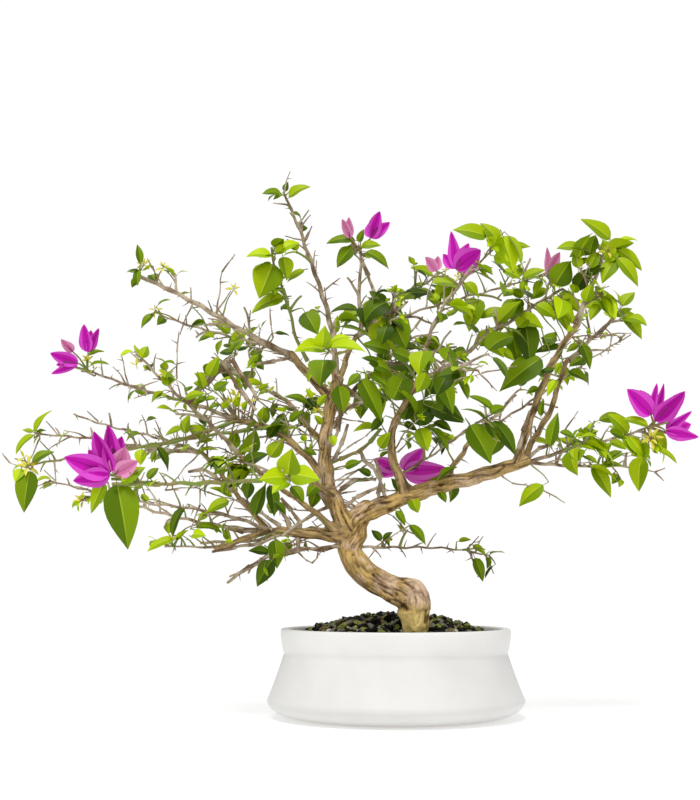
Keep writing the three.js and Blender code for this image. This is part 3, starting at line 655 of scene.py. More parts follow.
def wood_tube(name):
    """A limb's tube, swollen into a collar where it leaves its parent and rounded at its ends.

    The trunk goes on into the soil."""
    limb = limbs[name]
    t = np.linspace(0, 1, math.ceil(limb.length / RING_STEP) + 1)
    ahead, side, lift = limb.frame(t)
    radii = limb.radius(t)[:, None] * limb.relief(t[:, None], full_turn(LIMB_SIDES))
    if name not in FULL_LIMBS:
        radii = SLIM * radii
    middles = limb.drawn(t)
    tip = middles[-1] + np.outer(END_PAST, radii[-1].mean() * ahead[-1])
    if name == "trunk":
        shares = np.ones(len(t))
        foot = middles[:1] - TRUNK_SUNK * UP
        foot_shares = END_SHARES[:1]
    else:
        on, at = BOUGHS[name][:2]
        free = np.maximum(0, t * limb.length - limbs[on].radius(at))
        collar = TIP_COLLAR if at == 1 else COLLAR
        shares = 1 + collar * np.exp(-free / (COLLAR_LENGTH * limb.thick[0]))
        foot = middles[0] - np.outer(END_PAST[::-1], radii[0].mean() * ahead[0])
        foot_shares = END_SHARES[::-1]
    order = np.concatenate((np.zeros(len(foot), int), np.arange(len(t)), (-1, -1)))
    middles = np.concatenate((foot, middles, tip))
    shares = np.concatenate((foot_shares, shares, END_SHARES))
    return skin(middles, side[order], lift[order], radii[order] * shares[:, None], LIMB_SIDES)


BARK_VOXEL = 1.0
BARK_SMOOTHING = 4
rough_wood = add_piece("rough_wood", *joined([wood_tube(name) for name in limbs]), [])
remesh = rough_wood.modifiers.new("join", "REMESH")
remesh.mode = "VOXEL"
remesh.voxel_size = BARK_VOXEL * MM
ease = rough_wood.modifiers.new("ease", "SMOOTH")
ease.factor = 0.5
ease.iterations = BARK_SMOOTHING
wood_mesh = baked(rough_wood)
remove_piece(rough_wood)

# Step between the spots of an axis that the bark looks up, and what parts the grain of two limbs
SPOT_STEP = 1.5
LIMB_APART = 400
GRAIN_STRETCH = 8.0
GRAIN_TWIST = 0.012
FURROW_STEP = 6.5
FURROW_WIDTH = 0.1
FURROW_DEPTH = 0.05
FIBRE_STEP = 1.9
FIBRE_DEPTH = 0.06
LUMP_STEP = 15.0
LUMP_DEPTH = 0.12
# Old scars and knots: the limb, place along it, angle round it, radius and height against the limb's own
KNOTS = [
    ("trunk", 0.31, 4.9, 0.35, -0.2), ("trunk", 0.44, 4.4, 0.3, 0.2), ("trunk", 0.16, 0.4, 0.5, 0.2),
    ("trunk", 0.6, 4.6, 0.4, 0.22), ("trunk", 0.72, 5.6, 0.42, 0.25), ("trunk", 0.8, 3.6, 0.4, 0.24),
    ("trunk", 0.93, 4.8, 0.45, 0.26), ("leader", 0.2, 4.6, 0.7, 0.3), ("leader", 0.42, 4.0, 0.8, 0.32),
    ("leader", 0.63, 5.2, 0.8, 0.34), ("leader", 0.8, 3.9, 0.8, 0.3), ("right_arm", 0.1, 4.4, 0.6, 0.25),
    ("right_arm", 0.3, 4.7, 0.7, 0.28), ("right_arm", 0.52, 4.3, 0.8, 0.3),
    ("right_arm", 0.75, 5.0, 0.8, 0.3), ("left_arm", 0.5, 4.4, 0.7, 0.32), ("left_arm", 0.85, 5.0, 0.7, 0.32),
]
# Scars of old buds along every bough but the leader: spacing, turn from one to the next, radius and height
BUD_SCAR_STEP = 19.0
BUD_SCAR_TURN = 2.4
BUD_SCAR = (0.7, 0.2)
# The pit in a scar: its depth, how tight it is, how dark it is painted as shade, and how tight that painted
# shade is
PIT_DEPTH = 0.6
PIT_TIGHT = 9
PIT_TONE = 0.5
PIT_TONE_TIGHT = 8
# Grooves on the front of the trunk's foot, as seen from the front: across and up at each end, width, depth.
# A crease parts the hump from the arm, a hollow lies under it, and slits run down the foot.
GROOVES = [
    ((-1, 142), (15, 128), 2.0, 1.6), ((15, 128), (26, 115), 1.5, 0.7), ((5, 109), (8, 107), 2.6, 3.2),
    ((10, 106), (20, 104), 1.8, 0.4), ((20, 104), (33, 109), 1.8, 0.4), ((28, 105), (27, 94), 1.6, 2.4),
    ((33, 105), (32, 98), 1.3, 1.8), ((31, 99), (29, 87), 2.6, 1.7),
    ((-18, 131), (2, 124), 1.1, 1.2), ((-13, 124), (-2, 118), 1.1, 1.2), ((-24, 139), (-12, 132), 1.0, 1.0),
    ((13, 102), (16, 91), 1.2, 0.7), ((21, 103), (20, 93), 1.0, 0.6),
]
# How far to the front a face looks where a groove starts and where it is whole, and the painted shade in
# grooves: how dark for each millimetre of depth, and at most
GROOVE_FACES = (-0.3, 0.2)
GROOVE_TONE = 0.3
GROOVE_DARKEST = 0.6
# Middle and radius of the smooth, rosy hump above the foot
HUMP = (22, -50, 123)
HUMP_RADIUS = 15.0
# How light the bark is on the whole, and how much fibres, furrows and lumps change it: lighter where they
# raise it and darker where furrows cut in, partly the bark's own grain and partly painted light and shade
TONE = 0.58
FIBRE_TONE = 0.8
FURROW_TONE = 0.4
LUMP_TONE = 0.2
# The foot of the trunk is paler: between which heights it ends, its tone, and how far it takes over
FOOT_ENDS = (102, 110)
FOOT_TONE = 0.95
FOOT_SHARE = 0.65
FULL_GIRTH = 16

wood_places = np.empty(3 * len(wood_mesh.vertices))
wood_mesh.vertices.foreach_get("co", wood_places)
wood_places = wood_places.reshape(-1, 3) / MM
wood_normals = np.empty(3 * len(wood_mesh.vertices))
wood_mesh.vertices.foreach_get("normal", wood_normals)
wood_normals = wood_normals.reshape(-1, 3)

spots = []
for number, limb in enumerate(limbs.values()):
    t = np.linspace(0, 1, math.ceil(limb.length / SPOT_STEP) + 1)
    ahead, side, lift = limb.frame(t)
    far = t * limb.length + LIMB_APART * number
    spots.append(np.column_stack((limb.drawn(t), ahead, side, lift, limb.radius(t), far)))
spots = np.concatenate(spots)
spot_tree = KDTree(len(spots))
for number, spot in enumerate(spots):
    spot_tree.insert(spot[:3], number)
spot_tree.balance()
nearest_spot = np.array([spot_tree.find(place)[1] for place in wood_places])
middle, ahead, side, lift, girths, far = np.split(spots[nearest_spot], (3, 6, 9, 12, 13), axis=1)
girths = girths[:, 0]
offset = wood_places - middle
along = far[:, 0] + np.sum(offset * ahead, axis=1)
around = np.arctan2(np.sum(offset * lift, axis=1), np.sum(offset * side, axis=1))
twisted = around + GRAIN_TWIST * along
grain = np.column_stack((girths * np.cos(twisted), girths * np.sin(twisted), along / GRAIN_STRETCH))


def grained(places, step, shift):
    """Noise from -1 to 1 at each place."""
    start = Vector((shift, shift, shift))
    return np.array([noise.noise(Vector(place) / step + start) for place in places])


furrows = np.exp(-((grained(grain, FURROW_STEP, 3) / FURROW_WIDTH) ** 2))
furrows *= smooth(grained(wood_places, 1.6 * LUMP_STEP, 9), -0.25, 0.25)
fibres = 0.6 * grained(grain, FIBRE_STEP, 21) + 0.4 * grained(grain, 0.5 * FIBRE_STEP, 33)
lumps = grained(wood_places, LUMP_STEP, 0)
rise = girths * (LUMP_DEPTH * lumps + FIBRE_DEPTH * fibres - FURROW_DEPTH * furrows)
# Lighter where fibres and lumps raise the bark and darker in furrows: partly grain, partly painted light and
# shade
tone = TONE + FIBRE_TONE * fibres - FURROW_TONE * furrows + LUMP_TONE * lumps
foot = 1 - smooth(wood_places[:, 2], *FOOT_ENDS)
tone += foot * (FOOT_TONE - tone) * FOOT_SHARE

scars = list(KNOTS)
for name in BOUGHS:
    length = 0 if name == "leader" else limbs[name].length
    for number in range(1, int(length / BUD_SCAR_STEP)):
        scars.append((name, number * BUD_SCAR_STEP / length, BUD_SCAR_TURN * number, *BUD_SCAR))
for name, t, angle, radius, height in scars:
    limb = limbs[name]
    ahead, side, lift = limb.frame(t)
    girth = limb.radius(t)
    middle = limb.drawn(t) + girth * (side * math.cos(angle) + lift * math.sin(angle))
    away = np.linalg.norm(wood_places - middle, axis=1) / (radius * girth)
    pit = PIT_DEPTH * height * girth * np.exp(-PIT_TIGHT * away * away)
    rise += height * girth * np.exp(-away * away) - pit
    # Painted shade in the pit
    tone -= PIT_TONE * np.exp(-PIT_TONE_TIGHT * away * away)
for start, end, width, depth in GROOVES:
    start, end = np.array(start, float), np.array(end, float)
    flat = wood_places[:, [0, 2]] - start
    share = np.clip(flat @ (end - start) / np.dot(end - start, end - start), 0, 1)
    away = np.linalg.norm(flat - share[:, None] * (end - start), axis=1) / width
    cut = np.exp(-away * away) * smooth(-wood_normals[:, 1], *GROOVE_FACES)
    rise -= depth * cut
    # Painted shade in the groove, darker the deeper it cuts
    tone -= min(GROOVE_DARKEST, GROOVE_TONE * depth) * cut
wood_places += wood_normals * rise[:, None]
wood_places[:, 2] = np.maximum(wood_places[:, 2], TRUNK[0, 2] - TRUNK_SUNK)
wood_mesh.vertices.foreach_set("co", (wood_places * MM).ravel())
hump = np.exp(-((np.linalg.norm(wood_places - HUMP, axis=1) / HUMP_RADIUS) ** 2))
for label, values in (("tone", np.clip(tone, 0, 1)), ("girth", girths / FULL_GIRTH), ("blush", hump)):
    set_layer(wood_mesh, label, "FLOAT", values)
wood_mesh.polygons.foreach_set("use_smooth", np.ones(len(wood_mesh.polygons), bool))

bark, look = new_material("fissured_bark", Specular_IOR_Level=0.3)
# The tone attribute carries the bark's grain and the painted light and shade of its relief into the colour
tone, thick, blush = (look.node("ShaderNodeAttribute", {"attribute_name": label}, out="Fac")
                      for label in ("tone", "girth", "blush"))
height = look.height()
broad = look.mottle(45, 3)
flakes = look.mottle(300, 4)
ridge = (tone + 0.6 * flakes - 0.3).between(0.0, 1.0)
old_bark = ridge.mixed(tint(66, 42, 14), tint(212, 176, 106))
rosy_bark = ridge.mixed(tint(124, 94, 68), tint(232, 202, 170))
young_bark = ridge.mixed(tint(72, 52, 28), tint(190, 160, 110))
mossy_bark = ridge.mixed(tint(116, 86, 32), tint(246, 216, 138))
aged = (0.7 * broad.between(0.46, 0.6) + 1.2 * blush).between(0, 1).mixed(old_bark, rosy_bark)
footed = (1 - height.between(0.1, 0.112)).mixed(aged, mossy_bark)
barked = thick.between(0.25, 0.55).mixed(young_bark, footed)
feed(bark, Base_Color=barked, Roughness=0.68 + 0.25 * flakes, Normal=look.bump(flakes, 0.6, 0.0008))
wood_mesh.materials.append(bark)
wood_mesh.update()
wood = new_object("trunk_and_boughs", wood_mesh)
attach(wood, "root")
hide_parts("trunk", *("bough_" + name for name in BOUGHS))

# Twigs
# Each mass of foliage grows from one stem on a bough's tip: side twigs turned by the golden angle, then finer
# twiglets, leaves and bract clusters, kept to the mass's own space and clear of the wood and the ground.
# Woody stems are grey-brown and the youngest shoots and leaf stalks green.
# Each mass: bough and place on it, stem's length, heading, rise, arch, foot and tip radius, number of twigs,
# their reach, share of leaf buds that open, bract clusters
FOLIAGE = {
    "upper_left": ("upper_left", 1, 179, 178, 28, 0, 3.4, 2.2, 3, 44, 0.35, 0),
    "upper_back": ("upper_left", 1, 162, 157, 19, 0, 2.4, 1.3, 2, 38, 0.5, 0),
    "green_shoot": ("upper_left", 1, 112, 249, 62, 0, 2.2, 1.3, 2, 26, 1, 0),
    "left_bloom": ("left_mid", 1, 170, 171, 19, 0, 3, 1.4, 2, 42, 0.4, 2),
    "front_left": ("left_mid", 1, 226, 207, -14, 0, 2, 1.2, 2, 30, 0.4, 0),
    "left_cross": ("left_cross", 1, 143, 191, 44, 0, 2.7, 1.3, 3, 40, 0.6, 0),
    "left_long": ("left_long", 1, 176, 170, 7, 4, 2.5, 1.2, 2, 34, 0.4, 0),
    "left_far": ("left_long", 1, 180, 149, 16, 0, 2, 1.1, 2, 36, 0.35, 0),
    "left_low": ("left_arm", 1, 280, 154, 12, -6, 2.6, 1.1, 2, 38, 0.3, 0),
    "left_lower": ("left_arm", 1, 186, 203, 9, 0, 2.4, 1.1, 2, 36, 0.4, 0),
    "stub_twig": ("left_stub", 1, 50, 191, 0, 0, 1.6, 1, 1, 24, 0.7, 0),
    "front_bloom": ("front_low", 1, 165, 205, -2, 4, 2, 1.3, 2, 30, 0.5, 2),
    "front_low": ("front_low", 1, 62, 261, 3, 0, 1.8, 1.2, 2, 26, 1, 0),
    "low_left": ("trunk", 0.7, 128, 202, -13, 8, 2.2, 1.2, 2, 28, 0.7, 0),
    "low_right": ("trunk", 0.66, 154, 21, -3, 4, 1.8, 1, 2, 30, 0.45, 0),
    "top": ("leader", 1, 200, 190, 74, 10, 4, 1.4, 3, 26, 0.35, 0),
    "top_bloom": ("crown_right", 1, 92, 90, 86, 0, 2.8, 1.6, 2, 32, 0.9, 2),
    "high_right": ("crown_right", 1, 222, 12, 20, 4, 2.8, 1.4, 3, 46, 0.8, 1),
    "high_bloom": ("crown_right", 1, 160, 48, 33, 0, 2.4, 1.4, 3, 42, 0.8, 2),
    "front_right": ("front_rise", 1, 152, 342, 59, 16, 3.4, 1.4, 3, 42, 0.7, 0),
    "right_rise": ("front_rise", 1, 192, 19, 33, 0, 3, 1.8, 4, 46, 0.8, 0),
    "front_mid": ("front_rise", 1, 128, 292, -3, 6, 2.2, 1.2, 3, 42, 0.8, 0),
    "right_spread": ("back_right", 1, 205, 3, 33, 0, 2.6, 1.3, 3, 48, 0.7, 0),
    "right_tall": ("right_tall", 1, 80, 351, 68, 0, 3, 1.6, 3, 42, 1, 0),
    "right_twin": ("right_twin", 1, 82, 28, 39, 0, 2.5, 1.4, 3, 42, 0.9, 0),
    "right_bloom": ("right_arm", 1, 132, 352, 16, 0, 2.6, 1.4, 3, 34, 0.8, 3),
    "right_low": ("right_arm", 1, 140, 24, -1, 0, 2.4, 1.2, 2, 36, 0.7, 0),
    "arm_bloom": ("arm_spur", 1, 26, 60, 5, 0, 1.8, 1.3, 1, 24, 0.6, 2),
    "inner_right": ("arm_spur", 1, 128, 325, 27, 0, 2, 1.2, 3, 38, 0.9, 0),
    "back_high": ("back_high", 1, 125, 69, 30, 0, 2.6, 1.3, 4, 48, 0.9, 1),
    "back_left": ("back_left", 1, 140, 129, 24, 0, 2.6, 1.3, 3, 48, 0.7, 0),
    "back_right": ("back_right", 1, 136, 62, 25, 0, 2.4, 1.3, 3, 46, 0.8, 0),
    "heart": ("back_high", 1, 95, 318, 6, 0, 2.2, 1.2, 3, 42, 1, 0),
    "crown_front": ("crown_right", 1, 96, 302, 12, 0, 2, 1.2, 3, 36, 1, 0),
    "front_inner": ("front_low", 1, 68, 186, 18, 0, 1.8, 1.1, 2, 30, 1, 0),
    "front_high": ("front_high", 1, 78, 264, 8, 0, 2, 1.2, 3, 36, 1, 0),
}
TWIG_FOOT = 1.4
TWIG_TIP = 1.1
TWIG_FROM = 0.12
TWIG_TO = 0.94
TWIG_ALONG = 0.6
TWIG_OUT = 0.8
TWIG_UP = 0.25
TWIG_LENGTHS = (0.6, 1.1)
TWIG_ARCH = 0.05
TWIG_WANDER = 0.02
GOLDEN = 2.39996
TRIES = 4
RETRY_TURN = 1.3
LEAF_LENGTH = 33.0
LEAF_WIDTH = 0.62
LEAF_SPACING = 46.0
LEAF_FROM = 0.35
LEAF_ALONG = 0.6
LEAF_OUT = 0.85
LEAF_HANG = 0.2
LEAF_LENGTHS = (0.65, 1.25)
LEAF_ROLLS = (-0.6, 0.6)
STEM_TUFT = 2
TWIG_TUFT = 2
TUFT_ALONG = 1.1
BLOOM_STALK = 20.0
BLOOM_AT = 0.96
BLADE_WIDEST = 0.4
BLADE_FOLD = 0.08
BLADE_DROOP = 0.12
SPACE = 1.6
WOOD_CLEAR = 2.6
FINE_CLEAR = 1.2
GROUND_CLEAR = 116.0
STATION_STEP = 3.0

# How far the drawn line of a stem stands off the plain one: all along, most in its middle, or at its foot
STEM_SHIFTS = {"low_right": (0, 0, 5.5), "top_bloom": (5, 0, 0)}
STEM_BOWS = {
    "front_bloom": (0, 0, -7), "front_left": (0, 0, -5), "left_long": (0, 0, -4), "left_lower": (0, 0, 7),
    "upper_left": (0, 0, 1),
}
STEM_HEELS = {"green_shoot": (16, 0, -8)}
# Stems that are drawn slimmer still
THIN_STEMS = ("front_right", "right_spread", "inner_right", "high_right")
THIN = 0.62

stems = {}
for order, (name, row) in enumerate(FOLIAGE.items()):
    on, at, length, heading, rise, arch, foot_radius, tip_radius = row[:8]
    stems[name] = grow_limb(on, at, length, heading, rise, arch, 0, foot_radius, tip_radius, order)
    stems[name].stand_off(STEM_BOWS.get(name), STEM_HEELS.get(name), STEM_SHIFTS.get(name))


def stations_of(limb):
    t = np.linspace(0, 1, math.ceil(limb.length / STATION_STEP) + 1)
    return limb.point(t), limb.radius(t)


wood_stations = [stations_of(limb) for limb in limbs.values()]
wood_points = np.concatenate([points for points, _ in wood_stations])
wood_radii = np.concatenate([radii for _, radii in wood_stations])
stem_stations = [stations_of(stem)[0] for stem in stems.values()]
stem_points = np.concatenate(stem_stations)
stem_starts = np.cumsum([0] + [len(points) for points in stem_stations[:-1]])


def gaps(points, stations):
    """How far each point lies from each station."""
    squares = np.sum(points**2, axis=1)[:, None] + np.sum(stations**2, axis=1) - 2 * points @ stations.T
    return np.sqrt(np.maximum(squares, 0))


def clear_of_wood(points, least=FINE_CLEAR):
    """True for points that keep clear of the wood and the ground."""
    if points[:, 2].min() < GROUND_CLEAR:
        return False
    return (gaps(points, wood_points) - wood_radii).min() > least


def keeps_clear(points, mass):
    """True for points that are also nearer to their own mass's stem than to any other."""
    if not clear_of_wood(points, WOOD_CLEAR):
        return False
    near = np.minimum.reduceat(gaps(points, stem_points), stem_starts, axis=1)
    own = near[:, mass].copy()
    near[:, mass] = np.inf
    return bool((near > own[:, None] + SPACE).all())


DRAW_FACTOR = 16807
DRAW_LIMIT = 2147483647
SEED_STEP = 7919
SEED_START = 104729


def seeded_draws(seed):
    """The source's own random numbers, so that both grow the same twigs."""
    state = (seed * SEED_STEP + SEED_START) % DRAW_LIMIT

    def draw(low=0.0, high=1.0):
        nonlocal state
        state = state * DRAW_FACTOR % DRAW_LIMIT
        return low + (high - low) * state / DRAW_LIMIT

    return draw


def outward_at(shoot, t, angle):
    ahead, side, lift = shoot.frame(t)
    return ahead, side * math.cos(angle) + lift * math.sin(angle)


def side_twig(stem, t, angle, reach, draw, thick=(TWIG_FOOT, TWIG_TIP)):
    ahead, out = outward_at(stem, t, angle)
    length = reach * draw(*TWIG_LENGTHS) * (1 - 0.4 * t)
    leaning = unit(TWIG_ALONG * ahead + TWIG_OUT * out + TWIG_UP * UP)
    girth = (min(thick[0], 0.9 * float(stem.radius(t))), thick[1])
    twig = Limb(stem.point(t), leaning, length, girth, TWIG_ARCH * length, wander=TWIG_WANDER)
    twig.shift = stem.drawn(t) - stem.point(t)
    return twig


def twig_points(twig):
    return twig.point(np.array((0.35, 0.5, 0.65, 0.8, 0.9, 1)))


def leaf_at(shoot, t, angle, along, draw, size=LEAF_LENGTH):
    """Foot, direction, upper side, length and width of a leaf on a shoot."""
    ahead, out = outward_at(shoot, t, angle)
    length = size * draw(*LEAF_LENGTHS)
    roll = draw(*LEAF_ROLLS)
    leaning = unit(ahead * along + LEAF_OUT * out - LEAF_HANG * UP)
    level = unit(np.cross(UP, leaning))
    over = unit(np.cross(leaning, level) * math.cos(roll) - level * math.sin(roll))
    return shoot.point(t), leaning, over, length, LEAF_WIDTH * length


BLADE_ALONGS = np.array((0.2, 0.4, 0.6, 0.8, 1.0)).repeat(5)
BLADE_HALVES = np.where(BLADE_ALONGS < BLADE_WIDEST, BLADE_ALONGS / BLADE_WIDEST,
                        (1 - BLADE_ALONGS) / (1 - BLADE_WIDEST))
BLADE_ASIDES = np.tile((-1, -0.5, 0, 0.5, 1), 5) * BLADE_HALVES


def blade_points(blade):
    foot, ahead, over, length, width = blade
    rise = BLADE_FOLD * width * np.abs(BLADE_ASIDES) - BLADE_DROOP * length * BLADE_ALONGS**2
    across = np.outer(0.5 * width * BLADE_ASIDES, np.cross(ahead, over))
    return foot + np.outer(length * BLADE_ALONGS, ahead) + across + np.outer(rise, over)


# Finer growth. Every spray is dealt one of four greens, more of the young ones where the crown is open and of
# the deep ones inside it, where the deep green stands as painted shade
FINE_THICK = (0.95, 0.5)
FINE_TRIES = 3
FINE_LENGTHS = (0.6, 1.25)
FINE_HANGS = (0.1, 0.8)
FINE_WIDTHS = (0.5, 0.66)
SPROUT_LEAF = 11.0
CROWN_MIDDLE = np.array((-45.0, 0.0, 270.0))
YOUNG, FRESH, MID, DEEP, BUD = range(5)
SPARSE_DEAL = (0.25, 0.7, 1.0)
DENSE_DEAL = (0.1, 0.48, 0.82)
PAINTED_SHADE_DEAL = (0.03, 0.24, 0.62)
# Shoots on the boughs themselves, inside the crown: spacing, reach, share of leaf buds that open, leaf length
INNER_SHOOTS = {
    "leader": (13, 44, 0.45, 24), "right_arm": (17, 38, 0.3, 24), "left_arm": (7, 52, 0.25, 20),
    "left_stub": (12, 30, 0.1, 18), "left_long": (8, 58, 0.4, 24), "left_cross": (8, 60, 0.5, 25),
    "left_mid": (7, 60, 0.55, 26), "upper_left": (10, 44, 0.3, 24), "crown_right": (7, 50, 0.9, 32),
    "front_rise": (9, 52, 0.8, 33), "right_tall": (12, 40, 0.6, 30), "right_twin": (12, 44, 0.7, 30),
    "arm_spur": (8, 40, 0.8, 28), "back_high": (8, 60, 0.95, 34), "back_left": (8, 60, 0.7, 30),
    "back_right": (8, 60, 0.95, 34), "front_low": (10, 40, 0.3, 24), "front_high": (12, 36, 0.6, 28),
}
DENSE_FINE = (11, 34, 32)
SPARSE_FINE = (14, 36, 17)
SPARSE_LEAF = 0.6
SPARSE_LEAFY = 0.35
INNER_LEAFY = 0.6
# Masses from this share of open buds on are dense, but for a few. Some have mostly young leaves, and some lie
# inside the crown, in its shade, and are dealt mostly deep greens as painted shade
DENSE_FROM = 0.7
OPEN_MASSES = ("green_shoot", "low_left", "top_bloom")
FRESH_MASSES = ("green_shoot", "front_high", "front_low", "right_tall", "front_right", "high_right",
                "right_low", "right_bloom", "right_rise", "right_twin", "upper_left", "upper_back")
SHADED_MASSES = ("heart", "crown_front", "front_mid", "inner_right", "back_high", "back_right")
GREEN_STEMS = ("green_shoot", "front_left", "front_bloom")
# Millimetres of a stem, side twig, finer twig or listed twig to each thorn, and how long thorns are
STEM_THORNS = 16
TWIG_THORNS = 15
FINE_THORNS = 14
HAND_THORNS = 13
THORN_LENGTHS = (4.0, 9.5)
# Step along a drawn line, and over what length its foot swells
LINE_STEP = 5
FLARE_LENGTH = 7

brown_lines = []
green_lines = []
thorns = []
leaves = []
bracts = []
floret_lines = []

# What shows from the front is set one by one. The front view is a sheet of 700 by 800, measured across and
# down from its top left corner, as the eye sees it through the lens.
EYE = np.array((-45.5, -1400.0, 139.0))
LOOKS_AT = np.array((-45.5, 0.0, 317.0))
LENS = 62.2
SENSOR = 36.0
SHEET_WIDE = 700
SHEET_HIGH = 800
SIGHT = unit(LOOKS_AT - EYE)
SHEET_UP = np.cross((1.0, 0.0, 0.0), SIGHT)
# Where the crown is open in the front view, for the sky or so that blooms and rosettes stand free: the
# middle of each gap, its half width and half height
SKY = [
    (395, 281, 24, 10), (417, 303, 14, 8), (425, 322, 15, 8), (456, 333, 10, 16), (482, 282, 9, 6),
    (497, 301, 12, 8), (533, 259, 10, 11), (480, 353, 13, 9), (486, 383, 15, 11), (513, 405, 13, 20),
    (459, 405, 7, 12), (466, 456, 17, 17), (616, 356, 29, 19), (600, 318, 11, 7), (579, 410, 19, 12),
    (657, 478, 9, 17), (347, 285, 12, 22), (228, 578, 31, 19), (287, 567, 11, 13), (315, 567, 11, 8),
    (166, 562, 19, 13), (157, 520, 9, 7), (190, 345, 14, 13), (243, 361, 8, 13), (239, 301, 12, 20),
    (262, 239, 15, 8), (305, 297, 15, 12), (292, 384, 12, 13), (430, 564, 16, 13), (447, 526, 10, 9),
    (404, 537, 15, 7), (500, 558, 9, 6), (360, 417, 6, 6), (60, 390, 40, 14), (175, 345, 7, 12),
    (90, 413, 32, 13), (590, 480, 16, 11), (640, 330, 14, 14), (150, 557, 17, 11), (138, 545, 12, 8),
    (194, 365, 13, 8), (467, 448, 18, 22), (633, 482, 9, 16), (574, 478, 14, 10), (403, 262, 10, 9),
    (540, 400, 14, 9), (560, 400, 14, 14), (598, 400, 12, 18), (510, 300, 8, 6), (376, 532, 13, 9),
    (421, 537, 10, 8), (469, 560, 6, 8), (474, 400, 22, 12), (482, 416, 16, 8), (503, 451, 8, 11),
    (418, 308, 18, 10), (417, 331, 12, 11), (488, 299, 14, 9), (614, 281, 10, 9), (606, 326, 18, 8),
    (597, 345, 15, 8), (340, 500, 8, 7),
    (664, 408, 36, 26), (460, 252, 22, 20), (430, 264, 13, 11), (408, 465, 39, 19), (552, 262, 14, 15),
    (100, 458, 38, 33), (376, 225, 16, 16), (346, 229, 10, 12), (66, 358, 20, 20), (89, 340, 14, 18),
    (288, 476, 34, 28), (326, 344, 44, 19), (354, 368, 18, 19),
]
SKY_SHARE = 0.2
